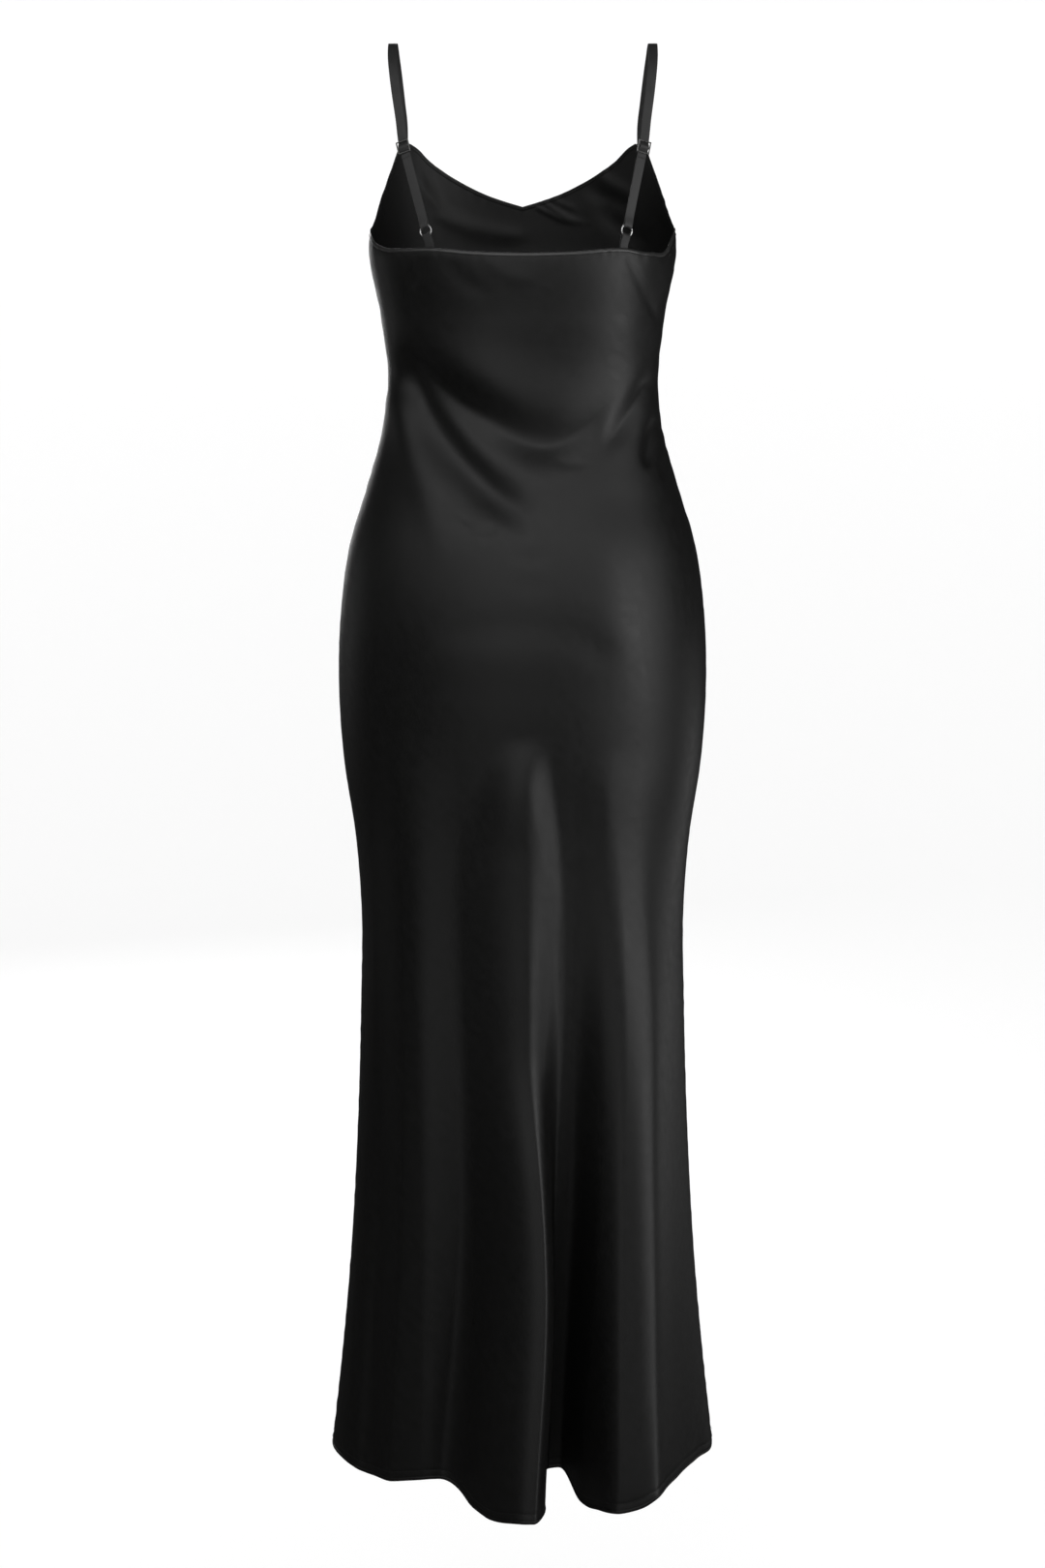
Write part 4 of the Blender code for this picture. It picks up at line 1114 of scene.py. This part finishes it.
# %% Sizes of the straps and their metal
STRAP_WIDTH = 8.6 * MM
STRAP_WIDTH_AT_RING = 8.0 * MM
STRAP_THICKNESS = 1.0 * MM
STRAP_WALL = 0.28 * MM
STRAP_CELLS = 32            # faces round the tube
STRAP_SQUARENESS = 0.5      # powers of the tube's rounded section, across it and through it
STRAP_FLATNESS = 0.7
STRAP_LIP = 0.45            # how much thicker it is beside its two folds, where the seam lies
STRAP_LIP_PLACE, STRAP_LIP_REACH = 0.82, 0.14
StrapSide = namedtuple("StrapSide", "name side top slider ring tab")   # distances across
STRAP_SIDES = (
    StrapSide("left", 1, 0.1185, 0.1070, 0.0870, 0.0834),
    StrapSide("right", -1, 0.1190, 0.1090, 0.0939, 0.0911),
)
Route = namedtuple("Route", "drop y share_in turn")     # turn is in degrees
FRONT_ROUTE = (Route(0.0500, -0.0590, 0.67, -30.0), Route(0.0120, -0.0290, 0.13, -8.0))
BACK_ROUTE = (Route(0.0125, 0.0200, 0.03, 3.0), Route(0.0420, 0.0380, 0.34, 11.0),
              Route(0.0680, 0.0480, 0.69, 17.0))
SLIDER_DROP, SLIDER_Y, SLIDER_TURN = 0.0935, 0.0565, 21.0
RING_DROP = 0.1675
RING_IN_FRONT_OF_EDGE = 3.2 * MM
START_RISE = 8.0 * MM
START_TUCK = 7.0 * MM       # of strap inside the front, below its point
INSIDE_FRONT = 1.6 * MM     # from the front's outer face to the middle of that end
SLIDER_HALF_WIDTH, SLIDER_HALF_HEIGHT = 6.2 * MM, 5.8 * MM
SLIDER_SIDE_BAR, SLIDER_END_BAR, SLIDER_CENTRE_HALF_BAR = 1.2 * MM, 1.1 * MM, 0.6 * MM
SLIDER_WALL = 1.0 * MM
SLIDER_BEHIND = 0.9 * MM
SLIDER_ROUNDING = 0.32 * MM
WEAVE_REACH, WEAVE_HEIGHT = 5.2 * MM, 2.9 * MM
RING_RADIUS, RING_WIRE = 5.4 * MM, 0.75 * MM
TURN_OUT, TURN_ALONG, TURN_ZONE = 1.55 * MM, 2.0 * MM, 9.0 * MM
LAYER_STEP = 1.35 * MM
TAB_HALF_STEP = 0.7 * MM
TAB_INSIDE = 3.45 * MM      # from the back's outer face to the middle of the tab
TAB_TUCK, TAB_STRAIGHT = 9.0 * MM, 3.0 * MM
LINE_POINTS = 1200
TAB_BESIDE = 0.01           # share to either side of the tab that its turn is read from
print("a strap is", round(STRAP_WIDTH / MM, 1), "mm wide and its ring", round(2 * RING_RADIUS / MM, 1), "mm")

# %% The line of a strap
def panel_place(side, share, drop):
    """A place on a panel's plain form."""
    _, x, y = read_stack(side, np.array(share), np.array(drop))
    return Vector((x, y, -drop))


class StrapLine:
    """The line that a strap, its ring and its tab lie on."""

    def __init__(self, row):
        self.row = row
        point_drop = FRONT_NECK[-1].drop
        corners, below = [[panel_place(FRONT, share_at(FRONT, row.side * x), drop)
                           for x in (point_inner, point_outer)]
                          for drop in (point_drop, point_drop + START_RISE)]
        start_turn = self.turn_of(corners[1] - corners[0])
        start = (corners[0] + corners[1]) / 2 + Vector((0.0, INSIDE_FRONT, 0.0))
        rise = (corners[0] + corners[1] - below[0] - below[1]) / 2

        tab_share = share_at(BACK, row.side * row.tab)
        edge_drop = float(back_top(tab_share))
        beside = [panel_place(BACK, tab_share + step, edge_drop) for step in (-TAB_BESIDE, TAB_BESIDE)]
        tab_turn = self.turn_of((beside[0] - beside[1]) * row.side)
        inward = Vector((-row.side * math.sin(math.radians(tab_turn)),
                         -math.cos(math.radians(tab_turn)), 0.0)) * TAB_INSIDE
        edge = panel_place(BACK, tab_share, edge_drop) + inward
        tuck = panel_place(BACK, tab_share, edge_drop + TAB_TUCK) + inward
        above = edge + (edge - tuck).normalized() * TAB_STRAIGHT
        top = Vector((row.side * row.top, 0.0, STRAP_THICKNESS / 2))
        slider = Vector((row.side * row.slider, SLIDER_Y, -SLIDER_DROP))
        ring = Vector((row.side * row.ring, edge.y - RING_IN_FRONT_OF_EDGE, -RING_DROP))
        down = (ring - slider).normalized()

        points = [start - rise * (START_TUCK / START_RISE), start, start + rise]
        turns = [start_turn] * 3
        for route in FRONT_ROUTE:
            x = row.side * row.top + (start.x - row.side * row.top) * route.share_in
            points.append(Vector((x, route.y, -route.drop)))
            turns.append(route.turn)
        points.append(top)
        turns.append(0.0)
        for route in BACK_ROUTE:
            x = row.side * (row.top + (row.slider - row.top) * route.share_in)
            points.append(Vector((x, route.y, -route.drop)))
            turns.append(route.turn)
        points += [slider, slider + down * WEAVE_REACH, ring - down * TURN_ZONE, ring,
                   ring + down * RING_RADIUS, above, edge, tuck]
        turns += [SLIDER_TURN] * 2 + [tab_turn] * 6

        coarse = np.array([tuple(point) for point in points])
        chord = running_length(coarse)
        fine = np.linspace(0.0, chord[-1], LINE_POINTS)
        self.line = np.stack([smooth(chord, coarse[:, k], fine) for k in range(3)], axis=1)
        self.length = running_length(self.line)
        self.turn = smooth(chord, turns, fine)
        self.slider_at, self.ring_at, self.edge_at = (self.place_of(p) for p in (slider, ring, edge))
        self.end_at = self.length[-1]

    def turn_of(self, outward):
        """Degrees that a direction across the strap is turned from X, seen from above."""
        v = outward * self.row.side
        return math.degrees(math.atan2(-v.y * self.row.side, v.x))

    def place_of(self, point):
        """Length along the line at the place nearest to a point."""
        return float(self.length[np.linalg.norm(self.line - np.array(point), axis=1).argmin()])

    def frame(self, at):
        """Position, and the directions along the strap, across it and out of it."""
        here, before, after = [Vector([np.interp(place, self.length, self.line[:, k]) for k in range(3)])
                               for place in (at, max(0.0, at - MM), min(self.end_at, at + MM))]
        along = (after - before).normalized()
        turn = math.radians(float(np.interp(at, self.length, self.turn)))
        across = Vector((math.cos(turn), -self.row.side * math.sin(turn), 0.0))
        out = across.cross(along).normalized()
        square = along.cross(out).normalized()
        return here, along, across.lerp(square, float(ramp(at, START_TUCK, START_TUCK + START_RISE))), out


strap_lines = {row.name: StrapLine(row) for row in STRAP_SIDES}
for name, line in strap_lines.items():
    print(name, "strap line is", round(line.end_at, 3), "m long")

# %% [markdown]
# ## Stations
#
# A tube of cloth is told where to go by stations. Each gives the length along the strap's
# line, how far the tube stands out of it, how much it arches round the ring's wire, and how
# wide it is there.

# %% Stations of a strap and of a tab
Station = namedtuple("Station", "at out arch width")
FRONT_STEPS, WEAVE_STEPS, STRAIGHT_STEPS, CLOSING_STEPS, TURN_STEPS = 70, 25, 12, 5, 13
TAB_LEG_STEPS, TAB_CLOSING_STEPS = 5, 4
BEFORE_WEAVE, AFTER_WEAVE, UNDER_WEAVE = 1.25, 1.5, 1.3      # times the weave's reach
END_STEPS = (0.9, 0.75, 0.6, 0.4, 0.15)     # of that reach, under the slider's bar
END_RISE = (0.95, 0.2)      # between which the strap's end comes up to the slider


def ring_arch(offset):
    """How far the ring's wire falls back from its nearest point, at an offset across."""
    return RING_RADIUS - math.sqrt(RING_RADIUS ** 2 - offset ** 2)


def half_turn(wire, way):
    """Stations round the ring's wire, from one side of it to the other."""
    return [Station(wire + way * TURN_ALONG * math.sin(angle), TURN_OUT * math.cos(angle), way,
                    STRAP_WIDTH_AT_RING) for angle in np.linspace(0.0, math.pi, TURN_STEPS)]


def strap_stations(line):
    """The strap from inside the front's strap point to its end behind the slider."""
    slider, wire = line.slider_at, line.ring_at - RING_RADIUS
    wide, narrow = STRAP_WIDTH, STRAP_WIDTH_AT_RING
    stations = [Station(at, 0.0, 0.0, wide)
                for at in np.linspace(0.0, slider - BEFORE_WEAVE * WEAVE_REACH, FRONT_STEPS)]
    for step in np.linspace(-1.0, 1.0, WEAVE_STEPS):
        over = WEAVE_HEIGHT * (1 + math.cos(math.pi * step)) / 2
        stations.append(Station(slider + step * WEAVE_REACH, over, 0.0, wide))
    stations += [Station(at, 0.0, 0.0, wide)
                 for at in np.linspace(slider + AFTER_WEAVE * WEAVE_REACH, wire - TURN_ZONE, STRAIGHT_STEPS)]
    for share in np.linspace(0.2, 1.0, CLOSING_STEPS):
        close = float(ramp(share, 0.0, 1.0))
        stations.append(Station(wire - TURN_ZONE * (1 - share), TURN_OUT * close, close,
                                wide + (narrow - wide) * close))
    stations += half_turn(wire, 1.0)[1:]
    for share in np.linspace(0.8, 0.0, CLOSING_STEPS):
        close = float(ramp(share, 0.0, 1.0))
        under = -LAYER_STEP + (LAYER_STEP - TURN_OUT) * close
        stations.append(Station(wire - TURN_ZONE * (1 - share), under, close, narrow))
    stations += [Station(at, -LAYER_STEP, 0.0, narrow)
                 for at in np.linspace(wire - TURN_ZONE, slider + UNDER_WEAVE * WEAVE_REACH,
                                       STRAIGHT_STEPS)[1:]]
    for share in END_STEPS:
        under = -LAYER_STEP * (1 - float(ramp(share, *END_RISE)))
        stations.append(Station(slider + share * WEAVE_REACH, under, 0.0, narrow))
    return stations


def tab_stations(line):
    """The tab from its outer leg's end inside the back, round the ring, and down again."""
    wire, narrow = line.ring_at + RING_RADIUS, STRAP_WIDTH_AT_RING
    leg = [Station(at, TAB_HALF_STEP, 0.0, narrow)
           for at in np.linspace(line.end_at, line.edge_at, TAB_LEG_STEPS)]
    for share in np.linspace(0.25, 1.0, TAB_CLOSING_STEPS):
        close = float(ramp(share, 0.0, 1.0))
        leg.append(Station(line.edge_at + share * (wire - line.edge_at),
                           TAB_HALF_STEP + (TURN_OUT - TAB_HALF_STEP) * close, -close, narrow))
    back_leg = [station._replace(out=-station.out) for station in reversed(leg)]
    return leg + half_turn(wire, -1.0)[1:-1] + back_leg


for line in strap_lines.values():
    print(line.row.name, "strap has", len(strap_stations(line)), "stations, its tab",
          len(tab_stations(line)))

# %% Make the straps and the tabs
def rounded(value, power):
    """A value raised to a power, with its sign kept."""
    return math.copysign(abs(value) ** power, value)


def strap_tube(name, line, stations, material):
    """A flat tube of cloth through its stations."""
    heights = np.array([station.out for station in stations])
    places = np.array([station.at for station in stations])
    tilt = np.arctan2(np.gradient(heights), np.gradient(places))
    grid = np.zeros((len(stations), STRAP_CELLS + 1, 3))
    for r, (station, lean) in enumerate(zip(stations, tilt)):
        for c in range(STRAP_CELLS + 1):
            angle = 2 * math.pi * c / STRAP_CELLS
            offset = station.width / 2 * rounded(math.cos(angle), STRAP_SQUARENESS)
            beside_fold = bell(abs(math.cos(angle)) - STRAP_LIP_PLACE, STRAP_LIP_REACH)
            skin = (STRAP_THICKNESS / 2 * rounded(math.sin(angle), STRAP_FLATNESS)
                    * (1.0 + STRAP_LIP * float(beside_fold)))
            here, along, across, out = line.frame(station.at + station.arch * ring_arch(offset))
            square = out * math.cos(lean) - along * math.sin(lean)
            grid[r, c] = here + across * offset + out * station.out + square * skin
    piece = cloth_object(name, grid, STRAP_WALL, (material,), tube=True)
    return piece, float(running_length(grid[:, STRAP_CELLS // 4]).max())


straps, tabs = {}, {}
for name, line in strap_lines.items():
    straps[name] = strap_tube(f"strap_painted_highlight_satin_{name}", line, strap_stations(line), strap_painted_highlight_satin)
    tabs[name] = strap_tube(f"tab_painted_highlight_satin_{name}", line, tab_stations(line), tab_painted_highlight_satin)
    for (piece, length), node, slot in ((straps[name], f"strap_{name}", "strap_satin"),
                                        (tabs[name], f"tab_{name}", "tab_satin")):
        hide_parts(node)
        print(piece.name, "is", round(length, 3), "m long")

# %% [markdown]
# ## Rings and sliders
#
# Both are pressed or bent from metal and plated black. The ring's colour is a light silver grey
# all the same, a painted highlight that keeps its rim bright. The ring is a closed wire. The
# slider is a flat frame with a bar across its middle, and its edges are tumbled round so that
# they don't cut the strap, which is also what gives them their glints.

# %% Make the rings and the sliders
RING_SIDES, RING_STEPS = 16, 64
SLIDER_GRID = (3, 5)        # cells across and along, some of them openings
SLIDER_SHARP = math.radians(45)


def frame_matrix(line, at, out_offset):
    """A matrix that lays X across the strap, Y up it and Z out of it."""
    here, along, across, out = line.frame(at)
    turn = Matrix((across, -along, out)).transposed()
    return Matrix.Translation(here + out * out_offset) @ turn.to_4x4()


def metal_piece(name, bm, node, material):
    """A piece of metal that takes its node's place."""
    bmesh.ops.recalc_face_normals(bm, faces=bm.faces)
    piece = add_object(name, mesh_from(bm, name))
    piece.data.materials.append(material)
    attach(piece, "root")
    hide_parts(node)
    return piece


def make_ring(line):
    """A wire circle swept round the ring's middle."""
    bm = bmesh.new()
    upright = Matrix.Translation((RING_RADIUS, 0.0, 0.0)) @ Matrix.Rotation(math.pi / 2, 4, "X")
    wire = bmesh.ops.create_circle(bm, segments=RING_SIDES, radius=RING_WIRE, matrix=upright)["verts"]
    edges = list({edge for vert in wire for edge in vert.link_edges})
    bmesh.ops.spin(bm, geom=wire + edges, cent=(0, 0, 0), axis=(0, 0, 1), angle=2 * math.pi,
                   steps=RING_STEPS, use_merge=True)
    bmesh.ops.recalc_face_normals(bm, faces=bm.faces)
    bmesh.ops.transform(bm, matrix=frame_matrix(line, line.ring_at, 0.0), verts=bm.verts)
    return metal_piece(f"ring_metal_{line.row.name}", bm, f"ring_{line.row.name}", painted_highlight_ring_plating)


def make_slider(line):
    """A frame with two slots: a grid of bars and openings, the openings deleted."""
    inside = SLIDER_HALF_WIDTH - SLIDER_SIDE_BAR
    opening = SLIDER_HALF_HEIGHT - SLIDER_END_BAR
    across_lines = (-SLIDER_HALF_WIDTH, -inside, inside, SLIDER_HALF_WIDTH)
    along_lines = (-SLIDER_HALF_HEIGHT, -opening, -SLIDER_CENTRE_HALF_BAR, SLIDER_CENTRE_HALF_BAR,
                   opening, SLIDER_HALF_HEIGHT)
    across_cells, along_cells = SLIDER_GRID
    bm = bmesh.new()
    bmesh.ops.create_grid(bm, x_segments=across_cells, y_segments=along_cells, size=0.5)
    openings = [face for face in bm.faces if abs(face.calc_center_median().x) < 0.1
                and 0.1 < abs(face.calc_center_median().y) < 0.3]
    bmesh.ops.delete(bm, geom=openings, context="FACES")
    for vert in bm.verts:
        vert.co.x = across_lines[round((vert.co.x + 0.5) * across_cells)]
        vert.co.y = along_lines[round((vert.co.y + 0.5) * along_cells)]
    bmesh.ops.solidify(bm, geom=bm.faces[:], thickness=-SLIDER_WALL)
    bmesh.ops.recalc_face_normals(bm, faces=bm.faces)
    sharp = [edge for edge in bm.edges if edge.calc_face_angle(0.0) > SLIDER_SHARP]
    bmesh.ops.bevel(bm, geom=sharp, offset=SLIDER_ROUNDING, segments=3, profile=0.5, affect="EDGES",
                    material=-1)
    bmesh.ops.transform(bm, matrix=frame_matrix(line, line.slider_at, SLIDER_BEHIND), verts=bm.verts)
    return metal_piece(f"slider_metal_{line.row.name}", bm, f"slider_{line.row.name}",
                       slider_polish)


for line in strap_lines.values():
    ring, slider = make_ring(line), make_slider(line)
    print(ring.name, len(ring.data.polygons), "faces,", slider.name, len(slider.data.polygons), "faces")

# %% [markdown]
# ## Bar tacks
#
# Where a strap ends it is held by a bar tack, a short dense row of stitches across it: at the
# front's strap points, at the strap's folded end below the slider, and where the tab is sewn
# inside the back. One more marks the middle of the back neck.

# %% Sew the bar tacks
TACK_STITCHES = 9
TACK_SPREAD = 0.42          # of the strap's width, from its middle to the outermost stitch
TACK_LENGTH, TACK_THICKNESS = 2.2 * MM, 0.55 * MM
POINT_TACK_OUT, END_TACK_OUT, TAB_TACK_OUT = -0.55 * MM, 0.45 * MM, -TAB_HALF_STEP - 0.5 * MM
END_TACK_PLACE = 1.9        # times the weave's reach, past the slider
NECK_TACK_INWARD, NECK_TACK_PITCH = 4.5 * MM, 0.8
NECK_TACK_LENGTH, NECK_TACK_THICKNESS = 2.0 * MM, 0.5 * MM


def bar_tack(name, line, at, out_by, width):
    """Close stitches along the strap, side by side across it."""
    here, along, across, out = line.frame(at)
    offsets = np.linspace(-TACK_SPREAD, TACK_SPREAD, TACK_STITCHES) * width
    places = [tuple(here + across * float(offset) + out * out_by) for offset in offsets]
    return sew(name, np.array(places), np.array([tuple(along)] * TACK_STITCHES),
               np.array([tuple(out)] * TACK_STITCHES), TACK_LENGTH, TACK_THICKNESS)


for name, line in strap_lines.items():
    bar_tack(f"point_tack_{name}", line, START_TUCK / 2, POINT_TACK_OUT, STRAP_WIDTH)
    bar_tack(f"end_tack_{name}", line, line.slider_at + END_TACK_PLACE * WEAVE_REACH, END_TACK_OUT,
                 STRAP_WIDTH_AT_RING)
    back_sewn.append(bar_tack(f"tab_tack_{name}", line, line.edge_at + TAB_TUCK / 2, TAB_TACK_OUT,
                              STRAP_WIDTH_AT_RING))
neck_place, neck_inward, neck_out = (column[BACK_COLUMNS // 2] for column in back_neck_frames)
neck_across = np.cross(neck_inward, neck_out)
neck_tack_places = [neck_place + neck_inward * NECK_TACK_INWARD + neck_across * step * MM
                    for step in (-NECK_TACK_PITCH, 0.0, NECK_TACK_PITCH)]
back_sewn.append(sew("neck_tack", np.array(neck_tack_places), np.array([neck_inward] * 3),
                     np.array([neck_out] * 3), NECK_TACK_LENGTH, NECK_TACK_THICKNESS))
print("bar tacks sewn")

# %% [markdown]
# ## How the cloth was cut
#
# Each panel is one piece of cloth. Its flat size is worked out as its longest column by its
# widest row, because satin hangs without stretching much.


def cut_size(points):
    """Width of the widest row and length of the longest column."""
    return float(lengths_along(points, 1)[:, -1].max()), float(lengths_along(points, 0)[-1].max())


for cloth, points, sewn in ((back_cloth, back_points, back_sewn), (front_cloth, front_points, front_sewn)):
    flat = cut_size(points)

# %% [markdown]
# ## The studio
#
# A pale seamless bowl stands under and around the dress, and glows a little, as a backlit one
# does, so that no hard shadow falls on it. Satin shows whatever it mirrors, so the softboxes
# are what draws its folds: a tall one on the right, a wide one overhead, a weak one beside the
# camera, a low one far to the right for the skirt's flank, and two on the left that keep the
# dark side from going dead. One more, on the other side, is for views of the front. The bowl
# itself is left out of the mirror images, or the cloth would turn grey.

# %% Bowl, lights and surroundings
FLOOR_BELOW_HEM = 0.30
BOWL_RADIUS = 5.5
BOWL_CURVE = 1.6
BOWL_HEIGHT = 5.0
BOWL_HOLE = 0.02            # radius of the hole that the spin leaves, then closed
BOWL_CURVE_STEPS, BOWL_STEPS = 13, 72
DRESS_MIDDLE = Vector((0.0, 0.0, -0.65))
Softbox = namedtuple("Softbox", "name azimuth elevation distance size power")
SOFTBOXES = (
    Softbox("key", 58, 2, 2.9, (1.4, 2.4), 31.0),
    Softbox("top", -4, 42, 2.9, (4.6, 1.5), 30.0),
    Softbox("front", -6, 3, 3.2, (2.2, 2.0), 10.0),
    Softbox("right side", 118, -17, 2.6, (1.2, 0.5), 2.6),
    Softbox("fill", -66, 30, 2.9, (1.4, 1.2), 2.2),
    Softbox("left side", -122, 0, 2.9, (1.2, 0.9), 1.5),
    Softbox("front key", 196, 18, 2.9, (1.4, 2.2), 26.0),
)
WORLD_STRENGTH = 0.02


def make_bowl():
    """Floor, curve and wall in one surface, spun round the dress."""
    floor_z = -HEM_DROP - FLOOR_BELOW_HEM
    flat = BOWL_RADIUS - BOWL_CURVE
    profile = [(BOWL_HOLE, floor_z)]
    profile += [(flat + BOWL_CURVE * math.sin(a), floor_z + BOWL_CURVE * (1 - math.cos(a)))
                for a in np.linspace(0.0, math.pi / 2, BOWL_CURVE_STEPS)]
    profile.append((BOWL_RADIUS, floor_z + BOWL_HEIGHT))
    bm = bmesh.new()
    verts = [bm.verts.new((radius, 0.0, z)) for radius, z in profile]
    edges = [bm.edges.new(pair) for pair in zip(verts, verts[1:])]
    bmesh.ops.spin(bm, geom=verts + edges, cent=(0, 0, 0), axis=(0, 0, 1), angle=2 * math.pi,
                   steps=BOWL_STEPS, use_merge=True)
    hole = [edge for edge in bm.edges
            if edge.is_boundary and all(vert.co.xy.length < 2 * BOWL_HOLE for vert in edge.verts)]
    bmesh.ops.contextual_create(bm, geom=hole)
    bmesh.ops.recalc_face_normals(bm, faces=bm.faces)
    bmesh.ops.reverse_faces(bm, faces=bm.faces)
    return add_object("bowl", mesh_from(bm, "bowl"))


def bowl_paint():
    """A pale matt paint that glows a little."""
    material, _, shader = new_material("bowl_paint")
    fill(shader, {"Base Color": (0.40, 0.40, 0.40, 1.0), "Roughness": 0.9, "Specular IOR Level": 0.0,
                  "Emission Color": (1.0, 1.0, 1.0, 1.0), "Emission Strength": 0.70})
    return material


def place_softbox(box):
    """A rectangular soft light, turned to the middle of the dress. Its azimuth goes from
    straight behind the dress towards the wearer's right."""
    a, e = math.radians(box.azimuth), math.radians(box.elevation)
    reach = box.distance * math.cos(e)
    offset = Vector((-reach * math.sin(a), reach * math.cos(a), box.distance * math.sin(e)))
    light = add_object(box.name, bpy.data.lights.new(box.name, "AREA"))
    light.data.shape = "RECTANGLE"
    light.data.size, light.data.size_y = box.size
    light.data.energy = box.power
    light.location = DRESS_MIDDLE + offset
    light.rotation_euler = (-offset).to_track_quat("-Z", "Y").to_euler()


bowl = make_bowl()
bowl.data.materials.append(bowl_paint())
bowl.visible_glossy = False
for box in SOFTBOXES:
    place_softbox(box)

world = bpy.data.worlds.new("studio")
world.use_nodes = True
fill(world.node_tree.nodes["Background"], {"Color": (1.0, 1.0, 1.0, 1.0), "Strength": WORLD_STRENGTH})
bpy.context.scene.world = world
bpy.context.scene.view_settings.view_transform = "Standard"
print("studio ready")
